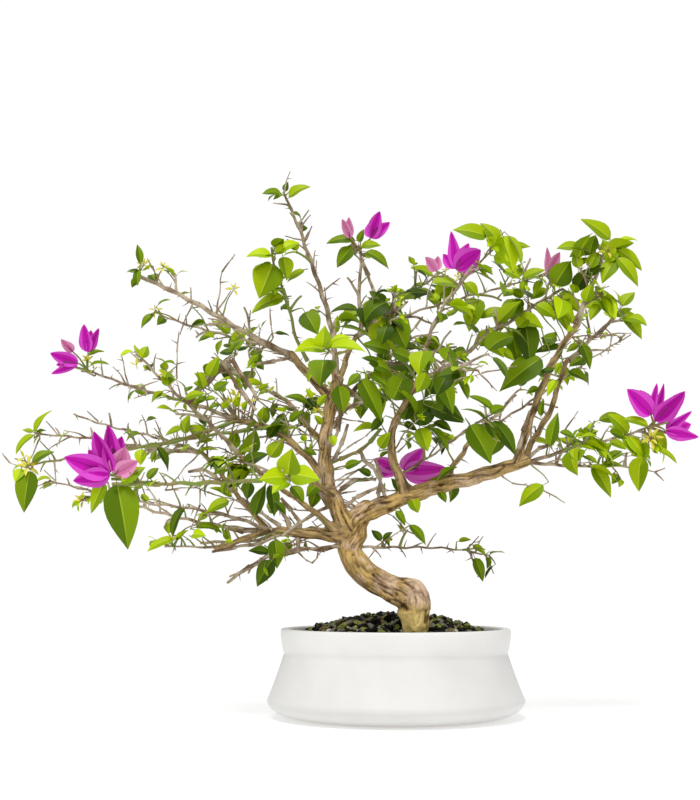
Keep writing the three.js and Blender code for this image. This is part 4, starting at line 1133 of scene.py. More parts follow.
# Leaves by the mass or bough that bears them: foot, tip, turn from facing the viewer to edge on, width in
# hundredths of the length, and tint. The deep tint also stands as painted shade for leaves that lie in shade
SET_LEAVES = {
    "left_bloom": [(88, 355, 105, 352, 60, 50, MID), (90, 366, 110, 365, 60, 45, MID)],
    "left_cross": [
        (142, 358, 148, 346, 30, 80, FRESH), (175, 364, 161, 364, 55, 60, MID),
        (209, 376, 219, 356, 10, 62, FRESH), (203, 388, 197, 371, 25, 65, FRESH),
        (185, 398, 207, 394, 45, 50, FRESH), (214, 390, 229, 382, 30, 60, MID),
        (206, 397, 195, 404, 30, 60, MID), (215, 398, 203, 401, 40, 50, FRESH),
        (219, 404, 208, 409, 40, 50, MID), (232, 352, 219, 353, 30, 60, DEEP),
        (230, 354, 236, 342, 30, 50, MID),
    ],
    "left_far": [(140, 433, 126, 442, 50, 60, MID)],
    "left_long": [
        (35, 433, 53, 410, 55, 40, FRESH), (34, 435, 16, 455, 55, 40, FRESH),
        (33, 432, 22, 430, 40, 50, FRESH), (37, 432, 47, 431, 40, 50, MID),
        (181, 428, 165, 436, 30, 50, FRESH), (184, 433, 190, 413, 20, 60, FRESH),
        (205, 436, 186, 426, 20, 70, FRESH),
    ],
    "front_left": [
        (32, 462, 55, 452, 55, 50, MID), (30, 471, 24, 513, 20, 56, MID),
        (158, 447, 168, 473, 40, 45, DEEP), (156, 451, 152, 463, 40, 50, MID),
    ],
    "front_bloom": [
        (104, 482, 91, 514, 20, 50, FRESH), (117, 484, 128, 550, 8, 54, MID),
        (122, 483, 146, 467, 30, 60, FRESH), (148, 479, 159, 468, 40, 60, MID),
    ],
    "left_lower": [(184, 508, 173, 538, 50, 40, DEEP), (229, 501, 206, 513, 35, 55, FRESH)],
    "stub_twig": [(175, 539, 147, 552, 50, 40, YOUNG), (176, 540, 189, 530, 40, 50, YOUNG)],
    "bough_left_stub": [(196, 527, 223, 534, 55, 50, MID)],
    "front_high": [
        (324, 350, 294, 352, 50, 55, YOUNG), (323, 347, 325, 325, 15, 75, YOUNG),
        (326, 349, 367, 353, 50, 50, YOUNG), (330, 342, 354, 338, 50, 45, YOUNG),
        (324, 360, 320, 387, 10, 75, MID),
    ],
    "front_low": [
        (286, 478, 259, 480, 30, 72, YOUNG), (288, 475, 292, 448, 12, 90, FRESH),
        (291, 474, 320, 480, 25, 75, YOUNG), (287, 482, 272, 494, 40, 60, YOUNG),
        (292, 486, 304, 504, 30, 60, MID),
    ],
    "green_shoot": [
        (271, 256, 246, 257, 50, 60, YOUNG), (276, 254, 300, 243, 50, 55, YOUNG),
        (283, 257, 287, 281, 20, 75, FRESH), (304, 270, 287, 283, 50, 55, FRESH),
        (273, 264, 259, 299, 10, 80, FRESH), (284, 297, 251, 314, 45, 55, FRESH),
        (305, 312, 318, 335, 12, 80, MID),
    ],
    "top": [
        (281, 194, 262, 194, 55, 60, MID), (289, 197, 311, 187, 50, 62, FRESH),
        (282, 195, 273, 200, 40, 50, MID),
    ],
    "upper_left": [
        (140, 263, 137, 244, 30, 40, MID), (139, 270, 138, 286, 40, 55, MID),
        (275, 333, 290, 336, 55, 40, DEEP),
    ],
    "upper_back": [
        (230, 333, 211, 321, 30, 60, FRESH), (232, 341, 252, 330, 35, 60, FRESH),
        (215, 334, 198, 342, 50, 40, MID), (153, 314, 141, 329, 40, 50, MID),
        (158, 305, 171, 300, 60, 30, MID), (258, 355, 247, 369, 40, 50, FRESH),
    ],
    "top_bloom": [
        (355, 240, 326, 244, 55, 45, MID), (352, 248, 337, 268, 35, 75, MID),
        (366, 252, 389, 270, 45, 55, MID), (361, 247, 381, 246, 50, 55, FRESH),
        (359, 242, 364, 229, 25, 60, MID), (358, 310, 330, 313, 62, 45, DEEP),
        (360, 315, 341, 333, 60, 40, DEEP), (365, 313, 377, 300, 30, 70, MID),
        (336, 333, 338, 315, 30, 50, FRESH),
    ],
    "high_bloom": [
        (433, 276, 410, 268, 55, 50, FRESH), (425, 284, 410, 289, 50, 40, MID),
        (407, 296, 384, 292, 60, 40, FRESH),
    ],
    "high_right": [
        (456, 281, 433, 299, 20, 75, FRESH), (465, 283, 479, 298, 30, 70, FRESH),
        (480, 273, 493, 284, 60, 50, FRESH), (478, 299, 469, 332, 15, 70, FRESH),
        (480, 318, 513, 311, 50, 40, FRESH), (503, 270, 522, 281, 40, 50, FRESH),
        (523, 278, 547, 270, 40, 50, FRESH), (525, 280, 523, 297, 35, 60, FRESH),
        (541, 280, 534, 297, 30, 60, FRESH), (547, 289, 530, 300, 30, 50, FRESH),
    ],
    "front_right": [
        (487, 236, 452, 230, 30, 55, FRESH), (503, 236, 513, 272, 15, 72, YOUNG),
        (509, 236, 521, 268, 50, 40, FRESH), (494, 256, 510, 262, 30, 80, YOUNG),
        (499, 241, 480, 223, 25, 60, FRESH),
    ],
    "right_rise": [
        (523, 297, 504, 290, 40, 60, FRESH), (520, 302, 499, 323, 20, 70, MID),
        (518, 318, 544, 329, 30, 70, FRESH), (525, 322, 530, 366, 10, 56, DEEP),
        (541, 358, 499, 392, 20, 55, MID), (480, 346, 493, 327, 30, 70, FRESH),
        (510, 330, 519, 368, 15, 50, MID), (500, 349, 514, 361, 30, 50, FRESH),
        (557, 340, 540, 338, 25, 70, MID), (561, 347, 533, 354, 40, 40, DEEP),
        (556, 300, 574, 325, 45, 45, YOUNG), (560, 308, 568, 332, 20, 60, FRESH),
        (562, 306, 581, 300, 30, 60, FRESH), (536, 305, 556, 318, 30, 60, FRESH),
        (485, 337, 504, 358, 35, 70, FRESH), (562, 297, 581, 314, 30, 65, FRESH),
        (555, 285, 571, 261, 15, 85, MID), (575, 290, 592, 267, 20, 60, DEEP),
        (545, 346, 557, 332, 30, 70, MID),
    ],
    "right_tall": [
        (583, 249, 556, 249, 55, 52, FRESH), (590, 253, 596, 235, 25, 80, MID),
        (610, 239, 580, 219, 35, 50, FRESH), (618, 241, 638, 241, 60, 35, YOUNG),
        (618, 250, 642, 271, 40, 45, FRESH), (617, 258, 638, 287, 35, 42, FRESH),
        (612, 259, 602, 239, 20, 70, YOUNG), (606, 262, 623, 245, 25, 60, YOUNG),
        (578, 268, 574, 251, 25, 70, FRESH), (590, 268, 599, 252, 30, 70, FRESH),
        (589, 276, 607, 266, 40, 60, DEEP), (586, 302, 593, 283, 25, 75, FRESH),
        (601, 295, 618, 309, 45, 55, FRESH), (600, 305, 590, 321, 30, 70, FRESH),
        (615, 260, 602, 284, 25, 60, FRESH),
    ],
    "right_twin": [
        (622, 306, 635, 292, 35, 70, FRESH), (620, 305, 611, 289, 60, 35, FRESH),
        (622, 312, 642, 340, 25, 50, FRESH), (581, 343, 590, 370, 30, 45, MID),
        (569, 371, 589, 384, 35, 55, MID),
    ],
    "right_bloom": [
        (628, 433, 606, 413, 30, 55, FRESH), (648, 426, 621, 420, 45, 42, FRESH),
        (628, 436, 645, 459, 25, 50, YOUNG), (655, 449, 677, 464, 55, 35, FRESH),
        (597, 437, 577, 440, 55, 45, FRESH), (560, 432, 578, 442, 55, 50, MID),
        (550, 446, 558, 412, 15, 40, MID), (634, 452, 620, 434, 30, 50, FRESH),
    ],
    "right_low": [
        (640, 457, 639, 492, 12, 64, FRESH), (593, 466, 611, 498, 20, 45, FRESH),
        (600, 456, 613, 442, 35, 60, FRESH), (610, 441, 627, 450, 35, 60, FRESH),
        (606, 461, 623, 451, 40, 60, MID), (601, 465, 624, 466, 45, 55, FRESH),
        (584, 457, 598, 464, 45, 50, FRESH),
    ],
    "inner_right": [
        (470, 425, 491, 464, 18, 62, MID), (485, 419, 459, 410, 60, 40, MID),
        (492, 409, 467, 396, 50, 45, MID), (490, 413, 505, 407, 35, 70, MID),
        (493, 421, 516, 457, 35, 40, DEEP),
    ],
    "front_mid": [
        (437, 371, 453, 415, 20, 42, MID), (440, 404, 465, 422, 45, 55, DEEP),
        (460, 381, 468, 400, 35, 50, MID), (431, 407, 464, 423, 15, 55, DEEP),
    ],
    "heart": [
        (392, 350, 413, 362, 35, 60, MID), (400, 350, 427, 353, 65, 35, DEEP),
        (417, 362, 410, 385, 20, 55, DEEP), (436, 385, 424, 399, 30, 60, DEEP),
    ],
    "crown_front": [
        (392, 320, 406, 349, 15, 85, MID), (375, 340, 398, 353, 35, 60, FRESH),
        (385, 385, 377, 359, 20, 70, MID),
    ],
    "bough_front_rise": [
        (361, 379, 382, 423, 14, 46, MID), (390, 351, 362, 344, 30, 60, MID),
        (380, 363, 361, 358, 40, 50, DEEP), (389, 370, 368, 363, 40, 60, MID),
        (370, 373, 388, 388, 30, 60, MID), (393, 352, 414, 362, 30, 70, MID),
        (360, 374, 346, 388, 30, 60, MID), (393, 400, 407, 370, 12, 80, MID),
        (366, 384, 362, 366, 50, 30, YOUNG), (404, 420, 412, 401, 20, 80, DEEP),
        (412, 422, 439, 401, 20, 80, DEEP), (420, 428, 428, 452, 15, 70, FRESH),
        (433, 428, 449, 454, 40, 40, MID), (380, 448, 391, 432, 25, 70, FRESH),
        (383, 418, 371, 432, 30, 60, DEEP), (404, 423, 418, 431, 30, 60, DEEP),
        (434, 422, 452, 432, 40, 50, DEEP),
    ],
    "bough_right_arm": [
        (543, 485, 519, 507, 40, 60, FRESH), (399, 491, 391, 478, 30, 60, DEEP),
        (440, 476, 458, 467, 40, 50, MID), (396, 511, 405, 526, 25, 55, MID),
        (411, 499, 418, 513, 20, 95, FRESH), (410, 525, 426, 546, 40, 50, MID),
        (439, 491, 446, 503, 30, 60, MID),
    ],
    "bough_right_tall": [
        (554, 370, 539, 372, 30, 50, DEEP), (539, 388, 526, 394, 35, 50, MID),
        (541, 416, 544, 398, 30, 45, MID), (561, 362, 555, 377, 40, 50, FRESH),
        (557, 380, 547, 397, 35, 50, YOUNG),
    ],
    "bough_leader": [
        (345, 467, 362, 462, 35, 60, MID), (371, 475, 357, 469, 30, 60, DEEP),
        (380, 457, 392, 452, 50, 55, MID), (318, 405, 327, 394, 25, 60, FRESH),
        (312, 398, 306, 388, 30, 60, YOUNG), (322, 424, 314, 415, 30, 60, FRESH),
        (304, 450, 317, 455, 30, 60, MID), (322, 482, 306, 497, 30, 70, MID),
        (320, 487, 311, 509, 25, 65, MID),
    ],
    "bough_left_mid": [
        (262, 424, 268, 406, 20, 70, MID), (232, 449, 237, 431, 15, 75, FRESH),
        (250, 453, 256, 429, 10, 75, MID), (270, 457, 285, 438, 20, 75, FRESH),
        (268, 438, 287, 415, 30, 45, DEEP), (226, 389, 213, 386, 25, 70, FRESH),
        (208, 380, 194, 373, 20, 60, FRESH), (207, 386, 193, 383, 30, 60, FRESH),
        (246, 383, 263, 385, 40, 60, YOUNG), (259, 390, 269, 385, 40, 60, FRESH),
        (262, 422, 264, 406, 15, 75, FRESH), (308, 403, 284, 397, 55, 40, MID),
        (293, 411, 283, 409, 50, 50, DEEP), (290, 421, 304, 411, 30, 60, MID),
        (222, 408, 232, 399, 30, 60, YOUNG), (236, 407, 239, 394, 25, 60, YOUNG),
        (243, 410, 248, 399, 20, 50, FRESH), (199, 452, 220, 451, 55, 45, FRESH),
        (198, 442, 214, 441, 50, 50, FRESH), (241, 455, 247, 441, 20, 60, MID),
        (205, 424, 197, 414, 30, 60, DEEP), (220, 381, 241, 380, 65, 30, FRESH),
    ],
    "bough_left_cross": [(243, 464, 269, 454, 30, 50, DEEP), (234, 485, 247, 467, 20, 75, MID)],
    "bough_left_long": [(232, 497, 209, 488, 50, 40, FRESH)],
    "front_inner": [
        (250, 482, 247, 500, 20, 70, DEEP), (255, 515, 266, 484, 25, 50, DEEP),
        (270, 485, 274, 517, 30, 45, DEEP), (276, 502, 286, 515, 30, 50, DEEP),
    ],
    "low_left": [
        (272, 560, 257, 587, 25, 60, DEEP), (275, 540, 277, 569, 12, 60, MID),
        (269, 553, 248, 551, 35, 50, DEEP),
    ],
    "low_right": [
        (459, 541, 472, 540, 40, 55, FRESH), (473, 545, 486, 555, 40, 55, FRESH),
        (475, 558, 483, 582, 20, 50, MID), (493, 566, 485, 579, 55, 30, DEEP),
        (381, 541, 371, 530, 40, 60, DEEP), (383, 540, 393, 532, 40, 50, DEEP),
        (385, 541, 390, 549, 50, 40, DEEP),
    ],
}
# Bare twigs by what they grow on: across and down of each spot of the front view, from foot to tip
SET_TWIGS = {
    "upper_left": [
        (217, 310, 222, 272, 235, 254), (219, 308, 231, 291), (192, 305, 184, 322, 180, 335),
        (162, 284, 152, 268, 147, 258), (273, 338, 271, 325, 270, 308),
    ],
    "bough_upper_left": [(282, 353, 262, 350, 243, 343)],
    "bough_front_rise": [(398, 452, 406, 444, 417, 434)],
    "left_bloom": [(128, 384, 121, 354), (140, 387, 158, 381), (95, 376, 80, 369)],
    "left_cross": [(177, 379, 177, 352, 179, 332), (141, 362, 130, 352)],
    "left_far": [(163, 438, 155, 420), (98, 421, 87, 411), (84, 418, 75, 415)],
    "left_long": [(58, 435, 46, 421), (40, 438, 30, 460)],
    "front_left": [(33, 470, 10, 463, 2, 453), (56, 481, 44, 470)],
    "left_low": [(50, 481, 36, 487)],
    "bough_left_mid": [
        (205, 415, 222, 440), (318, 440, 296, 428, 280, 420), (200, 386, 215, 392, 232, 405, 245, 415),
        (253, 396, 275, 404, 300, 408), (256, 399, 280, 416), (226, 420, 222, 440),
    ],
    "bough_left_long": [(165, 490, 195, 487, 207, 492, 226, 498), (200, 490, 200, 505, 190, 530)],
    "left_lower": [(253, 517, 235, 517, 205, 512)],
    "bough_left_arm": [(299, 553, 306, 560, 312, 563, 317, 558, 318, 550)],
    "low_right": [
        (376, 547, 386, 540, 400, 531, 411, 525), (376, 548, 369, 558), (466, 550, 479, 536),
    ],
    "bough_trunk": [(343, 537, 334, 545, 326, 551)],
    "top": [
        (288, 205, 273, 203), (300, 222, 309, 210), (306, 240, 312, 226), (306, 241, 285, 236),
        (325, 290, 340, 278),
    ],
    "front_mid": [(440, 385, 482, 373, 517, 366), (480, 374, 497, 391)],
    "right_twin": [(571, 337, 600, 335, 632, 333), (612, 335, 608, 354), (601, 334, 621, 309)],
    "bough_right_arm": [
        (502, 476, 512, 483, 540, 488, 565, 503), (383, 511, 393, 516, 400, 523, 405, 530, 414, 534),
        (336, 499, 345, 485, 353, 478), (338, 497, 343, 493, 356, 491), (352, 498, 368, 493, 379, 486),
    ],
    "right_low": [(655, 472, 665, 468), (655, 472, 664, 481)],
    "right_bloom": [(565, 430, 578, 411)],
    "bough_leader": [
        (336, 418, 358, 421, 371, 424), (336, 411, 352, 405, 363, 402),
        (335, 457, 347, 448, 366, 436, 372, 430), (338, 480, 365, 478, 376, 481),
        (330, 484, 345, 475, 359, 469), (338, 486, 350, 475, 362, 468, 373, 461),
    ],
}
# Stouter ones, and green ones, drawn in the same way
STOUT = (2.3, 1.5)
STOUT_TWIGS = {
    "bough_leader": [
        (334, 460, 341, 445, 348, 424), (345, 386, 362, 401), (332, 505, 316, 512, 300, 523, 282, 536),
        (321, 478, 320, 492, 328, 508), (333, 428, 341, 413, 353, 405, 363, 402),
        (334, 498, 341, 489, 353, 480, 376, 479), (331, 446, 338, 431, 341, 416, 338, 402),
    ],
    "bough_right_arm": [
        (378, 494, 381, 478, 376, 460), (346, 506, 357, 497, 379, 487),
        (383, 491, 379, 478, 373, 467, 364, 461, 361, 452),
    ],
    "bough_upper_left": [(291, 357, 275, 361, 257, 364)],
    "bough_right_tall": [(519, 449, 523, 431, 530, 411), (527, 459, 539, 448, 553, 444)],
    "bough_left_long": [(232, 492, 216, 477, 203, 469, 188, 472)],
    "bough_trunk": [(340, 545, 325, 550, 300, 548, 283, 553)],
    "bough_left_arm": [
        (298, 535, 298, 553), (290, 525, 279, 508, 268, 492), (280, 526, 262, 513, 242, 498),
        (272, 530, 243, 532, 220, 526), (276, 537, 250, 541, 200, 543), (290, 528, 283, 512, 271, 500),
        (301, 524, 291, 510, 281, 498), (285, 532, 262, 543, 236, 547, 212, 552),
    ],
    "low_left": [(270, 555, 250, 566, 227, 583)],
    "top_bloom": [(379, 322, 376, 299, 368, 275, 361, 258)],
    "left_cross": [(222, 362, 240, 390, 256, 410), (232, 360, 246, 380, 258, 400)],
}
GREEN_TWIGS = {
    "bough_leader": [(320, 468, 340, 459, 358, 452, 370, 442, 381, 429)],
    "bough_left_mid": [(268, 427, 250, 430, 200, 436, 160, 445, 118, 450)],
    "front_bloom": [(262, 480, 230, 482, 160, 484, 112, 484)],
}
# Yellow buds: spot, number of scales and their length
SET_BUDS = {
    "front_left": [(28, 467, 7, 13), (24, 458, 3, 8)],
    "upper_left": [(144, 265, 6, 10), (163, 268, 5, 10), (234, 289, 5, 9)],
    "upper_back": [(155, 310, 4, 9)],
    "left_bloom": [(88, 361, 5, 9), (94, 370, 3, 7)],
    "left_cross": [(136, 365, 4, 8), (165, 375, 5, 9)],
    "left_lower": [(83, 501, 5, 10)],
    "right_bloom": [(651, 439, 7, 13), (632, 441, 4, 10)],
    "right_tall": [(608, 252, 5, 12)],
    "stub_twig": [(172, 540, 3, 8)],
    "high_right": [(458, 277, 4, 9)],
    "high_bloom": [(446, 271, 4, 9)],
    "bough_left_mid": [(236, 396, 6, 9), (228, 403, 5, 8), (247, 402, 5, 10), (262, 388, 4, 8)],
    "bough_leader": [
        (347, 403, 7, 9), (354, 408, 6, 8), (343, 411, 5, 8), (309, 394, 5, 8), (318, 412, 5, 8),
    ],
}
# Blooms: spot of the base, tint, and the tip and width of each bract, the nearest to the eye first
MAGENTA, VIOLET, FADED, MAGENTA_PAINTED_LIGHT = range(4)
# The arch of a bract, upwards
CUPPED = -0.5
BLOOMS = {
    "left_bloom": [
        (88, 352, MAGENTA, ((84, 324, 20), (99, 328, 13), (91, 330, 15))),
        (78, 363, MAGENTA, ((50, 353, 17), (51, 374, 10), (56, 365, 14))),
        (73, 352, FADED, ((61, 339, 12), (66, 341, 10))),
    ],
    "front_bloom": [
        (110, 474, MAGENTA, ((64, 457, 28), (73, 481, 24), (88, 450, 24))),
        (112, 472, VIOLET, ((94, 431, 24), (108, 425, 26), (122, 436, 20))),
        (116, 474, FADED, ((138, 461, 20), (125, 447, 22))),
    ],
    "top_bloom": [
        (350, 238, FADED, ((342, 219, 10), (349, 217, 12))),
        (371, 238, MAGENTA, ((380, 211, 20), (390, 222, 15), (370, 222, 15))),
    ],
    "front_right": [
        (456, 269, MAGENTA, ((481, 250, 28), (451, 231, 15), (469, 243, 19), (443, 254, 16))),
        (436, 271, FADED, ((425, 257, 14), (438, 256, 13))),
    ],
    "high_right": [(548, 275, FADED, ((560, 252, 16), (547, 247, 9)))],
    "right_bloom": [
        (651, 415, MAGENTA, ((627, 389, 29), (657, 383, 10), (640, 390, 22))),
        (655, 421, VIOLET, ((685, 391, 28), (664, 383, 10), (674, 402, 22))),
        (666, 431, MAGENTA, ((699, 437, 18), (692, 411, 13), (691, 424, 22))),
    ],
    # This bloom lies in the crown's shade and is given magenta with painted light
    "arm_bloom": [
        (398, 470, MAGENTA_PAINTED_LIGHT, ((373, 459, 19), (377, 476, 16), (380, 466, 16))),
        (404, 471, MAGENTA_PAINTED_LIGHT, ((447, 468, 25), (424, 448, 20), (431, 481, 18), (411, 452, 16))),
    ],
}
shoot_of = {**stems, **{"bough_" + name: limb for name, limb in limbs.items()}}


def seen_at(across, down, depth):
    """The place at a depth that stands at a spot of the front view."""
    ray = SIGHT * LENS / SENSOR * SHEET_HIGH + SHEET_UP * (SHEET_HIGH / 2 - down)
    ray[0] += across - SHEET_WIDE / 2
    return EYE + ray * (depth - EYE[1]) / ray[1]


def on_sheet(places):
    """The spots of the front view where places stand."""
    offset = places - EYE
    scale = LENS / SENSOR * SHEET_HIGH / (offset @ SIGHT)
    return np.stack((SHEET_WIDE / 2 + offset[..., 0] * scale, SHEET_HIGH / 2 - offset @ SHEET_UP * scale), -1)


def nearest_on(bearer, across, down):
    """The place on a stem or bough that stands nearest to a spot of the front view."""
    places = shoot_of[bearer].drawn(np.linspace(0, 1, 80))
    return places[np.argmin(np.linalg.norm(on_sheet(places) - (across, down), axis=1))]


def set_blade(foot, tip, turn, share, bend):
    """A blade from foot to tip, arched by bend, its face turned from the viewer towards its upper edge."""
    span = float(np.linalg.norm(tip - foot))
    ahead = (tip - foot) / span
    facing = EYE - foot
    facing = unit(facing - ahead * ahead.dot(facing))
    edge = np.cross(ahead, facing)
    over = facing * math.cos(turn) + edge * math.sin(turn) * (1 if edge[2] >= 0 else -1)
    length = span * 0.5 * bend / math.sin(0.5 * bend)
    start = ahead * math.cos(0.5 * bend) + over * math.sin(0.5 * bend)
    return foot, start, over * math.cos(0.5 * bend) - ahead * math.sin(0.5 * bend), length, share * length


def twig_to(place, lines, bearer, thick=FINE_THICK):
    """A twig from a stem or bough to a place."""
    foot = nearest_on(bearer, *on_sheet(place))
    length = float(np.linalg.norm(place - foot))
    if length > 2:
        twig = Limb(foot, (place - foot) / length, length, thick, TWIG_ARCH * length, wander=TWIG_WANDER)
        add_line(lines, twig, flare=0.3)


def in_sky(points):
    """True where enough of a blade or twig would close a gap of the crown."""
    spots = on_sheet(points)[:, None]
    gap = np.array(SKY, float)
    inside = (((spots - gap[:, :2]) / gap[:, 2:]) ** 2).sum(axis=2) < 1
    return inside.any(axis=1).mean() > SKY_SHARE


def deal(draw, shares):
    """The tint of one spray."""
    return int(np.searchsorted(shares, draw()))


def add_line(lines, shoot, flare=0.0, slim=1.0):
    """The drawn line of a shoot with its radius at each place, swollen a little at the foot."""
    t = np.linspace(0, 1, max(4, math.ceil(shoot.length / LINE_STEP)) + 1)
    swell = 1 + flare * np.exp(-t * shoot.length / FLARE_LENGTH)
    lines.append((shoot.drawn(t), slim * shoot.radius(t) * swell))


def add_thorns(shoot, spacing, draw, least=0.1):
    """Thorns at the nodes of a shoot, turned by the golden angle."""
    count = int(shoot.length * (1 - least) / spacing)
    for number in range(count):
        t = least + (1 - least) * (number + draw(0.2, 0.8)) / count
        ahead, out = outward_at(shoot, t, number * GOLDEN + draw(-0.5, 0.5))
        foot = shoot.drawn(t) + 0.7 * float(shoot.radius(t)) * out
        thorns.append((foot, unit(out + 0.35 * ahead), draw(*THORN_LENGTHS)))


def fine_leaf(shoot, t, angle, size, draw):
    """A leaf that hangs a little and turns its face up and out of the crown."""
    ahead, out = outward_at(shoot, t, angle)
    foot = shoot.drawn(t)
    length = size * draw(*FINE_LENGTHS)
    leaning = unit(LEAF_ALONG * ahead + LEAF_OUT * out - draw(*FINE_HANGS) * UP)
    open_air = unit((foot - CROWN_MIDDLE) * (1, 1, 0.5))
    facing = 0.7 * UP + draw(0.3, 1.0) * open_air + draw(-0.4, 0.4) * np.cross(UP, leaning)
    over = unit(facing - leaning * facing.dot(leaning))
    return foot, leaning, over, length, draw(*FINE_WIDTHS) * length


def leaf_out(shoot, leafy, size, dealt, draw, sprouting):
    """Leaves along a shoot, all of one spray, and now and then a young sprout at its tip."""
    buds = max(1, round(0.7 * shoot.length / (0.5 * size)))
    turn = draw(0, 2 * math.pi)
    for number in range(buds):
        t = 0.3 + 0.7 * (number + draw(0.2, 0.9)) / buds
        leaf = fine_leaf(shoot, t, turn + number * GOLDEN, size, draw)
        points = blade_points(leaf)
        if draw() < leafy and clear_of_wood(points) and not in_sky(points):
            leaves.append((leaf, dealt, None))
    if draw() < sprouting and not in_sky(shoot.drawn(np.array((0.9, 1.0)))):
        for number in range(3):
            sprout = leaf_at(shoot, 1.0, turn + number * 2.1, 1.4, draw, SPROUT_LEAF)
            leaves.append(((shoot.drawn(1.0), *sprout[1:]), YOUNG, None))


def grow_finer(shoot, spacing, reach, leafy, size, draw, green=0.3, start=0.12, shares=DENSE_DEAL):
    """Finer twigs along a shoot, each one spray."""
    count = max(1, int(shoot.length * (1 - start) / spacing))
    turn = draw(0, 2 * math.pi)
    for number in range(count):
        t = start + (1 - start) * (number + draw(0.1, 0.9)) / count
        for attempt in range(FINE_TRIES):
            angle = turn + number * GOLDEN + attempt * RETRY_TURN
            twig = side_twig(shoot, t, angle, reach * draw(0.5, 1.2), draw, FINE_THICK)
            points = twig_points(twig)
            if clear_of_wood(points) and not in_sky(points):
                leaf_out(twig, leafy, size, deal(draw, shares), draw, 0.4 * leafy)
                add_line(green_lines if draw() < green else brown_lines, twig, flare=0.3)
                add_thorns(twig, FINE_THORNS, draw, least=0.25)
                break


def grow_mass(order, name):
    """One mass by the source's rule, then its finer twigs."""
    twig_count, reach, leafy, blooms = FOLIAGE[name][-4:]
    draw = seeded_draws(order + 1)
    stem = stems[name]
    turn = draw(0, 2 * math.pi)
    twigs = []
    stalks = []
    mass_leaves = []

    def first_clear(make, points_of):
        for attempt in range(TRIES):
            grown = make(attempt * RETRY_TURN)
            if keeps_clear(points_of(grown), order):
                return grown
        return None

    def add_leaf(shoot, t, angle, along):
        leaf = first_clear(lambda more: leaf_at(shoot, t, angle + more, along, draw), blade_points)
        if leaf is not None:
            mass_leaves.append((shoot, t, leaf))

    for number in range(twig_count):
        t = TWIG_FROM + (TWIG_TO - TWIG_FROM) * (number + draw()) / twig_count
        angle = turn + number * GOLDEN
        twig = first_clear(lambda more: side_twig(stem, t, angle + more, reach, draw), twig_points)
        if twig is not None:
            twigs.append(twig)

    for number in range(blooms):
        angle = turn + number * GOLDEN
        ahead, out = outward_at(stem, BLOOM_AT, angle)
        leaning = unit(ahead + (0.25 + 0.3 * number) * out)
        stalk = Limb(stem.point(BLOOM_AT), leaning, BLOOM_STALK, (TWIG_FOOT, TWIG_FOOT), wander=0)
        if keeps_clear(twig_points(stalk), order):
            stalks.append(stalk)
            # Bracts are set one by one below, and the three of the source only take their draws
            for _ in range(3):
                draw()

    # As in the source, as many of the last shoots as there are blooms bear no leaves
    shoots = [stem, *(twigs + stalks)[:len(twigs) + len(stalks) - blooms]]
    for shoot in shoots:
        buds = max(1, math.floor(shoot.length * (1 - LEAF_FROM) / LEAF_SPACING + 0.5))
        for number in range(buds):
            if draw() < leafy:
                t = LEAF_FROM + (1 - LEAF_FROM) * (number + 0.5) / buds
                add_leaf(shoot, t, turn + number * GOLDEN, LEAF_ALONG)
        tuft = TWIG_TUFT
        if shoot is stem:
            tuft = 0 if blooms else STEM_TUFT
        for number in range(tuft):
            t = 1 - (2 + 3 * number) / shoot.length
            add_leaf(shoot, t, turn + number * 2 * math.pi / tuft, TUFT_ALONG)

    draw = seeded_draws(order + 501)
    dense = leafy >= DENSE_FROM and name not in OPEN_MASSES
    shares = DENSE_DEAL if dense and name not in FRESH_MASSES else SPARSE_DEAL
    if name in SHADED_MASSES:
        shares = PAINTED_SHADE_DEAL
    sprays = {id(shoot): deal(draw, shares) for shoot in shoots}
    scale = 1 if dense else SPARSE_LEAF
    opening = leafy if dense else SPARSE_LEAFY * leafy
    for shoot, t, (_, ahead, over, length, width) in mass_leaves:
        leaf = (shoot.drawn(t), ahead, over, scale * length, scale * width)
        if not in_sky(blade_points(leaf)):
            leaves.append((leaf, sprays[id(shoot)], None))

    spacing, fine_reach, size = DENSE_FINE if dense else SPARSE_FINE
    green = name in GREEN_STEMS
    slim = 1 if name in FULL_LIMBS else THIN if name in THIN_STEMS else SLIM
    add_line(green_lines if green else brown_lines, stem, flare=0.4, slim=slim)
    add_thorns(stem, STEM_THORNS, draw)
    grow_finer(stem, spacing, fine_reach, opening, size, draw, green=0.9 if green else 0.25, shares=shares)
    for shoot in twigs:
        add_line(green_lines if green or draw() < 0.25 else brown_lines, shoot, flare=0.35)
        add_thorns(shoot, TWIG_THORNS, draw, least=0.3)
        grow_finer(shoot, spacing, 0.7 * fine_reach, opening, size, draw,
                   green=0.9 if green else 0.3, shares=shares)
    for shoot in stalks:
        add_line(green_lines, shoot, flare=0.2)


for order, name in enumerate(FOLIAGE):
    grow_mass(order, name)
draw = seeded_draws(887)
for name, (spacing, far, leafy, size) in INNER_SHOOTS.items():
    dense = leafy >= DENSE_FROM
    opening = leafy if dense else INNER_LEAFY * leafy
    # Dense shoots inside the crown are dealt the greens of painted shade
    shares = PAINTED_SHADE_DEAL if dense else SPARSE_DEAL
    grow_finer(limbs[name], spacing, far, opening, size, draw, green=0.2, start=0.15, shares=shares)

PETIOLE = 0.17
PETIOLE_GIRTH = 0.42
# How far a leaf's foot stands in front of its shoot, and its tip in front of or behind the foot
FOOT_FORWARD = (2, 10)
TIP_FORWARD = (-6, 6)
# How much a leaf arches when it faces the viewer, how much more when it is edge on, and how far that varies
ARCH_FACING = 0.5
ARCH_EDGE_ON = 0.9
ARCH_VARIES = 0.15
# How far the leaves of the two rosettes lean out to the front, and what share of it they start in front
ROSETTE_LEAN = {"front_low": 12, "front_high": 20}
ROSETTE_START = 0.9
# How far each bend of a twig may come forward from the one before
TWIG_FORWARD = (0, 4)
# How far a bud stands in front of its shoot, how long its scales are, their width, turn and arch
BUD_FORWARD = 3
BUD_LENGTHS = (0.7, 1.2)
BUD_WIDTH = 0.34
BUD_TURN = 0.6
BUD_ARCH = 0.6
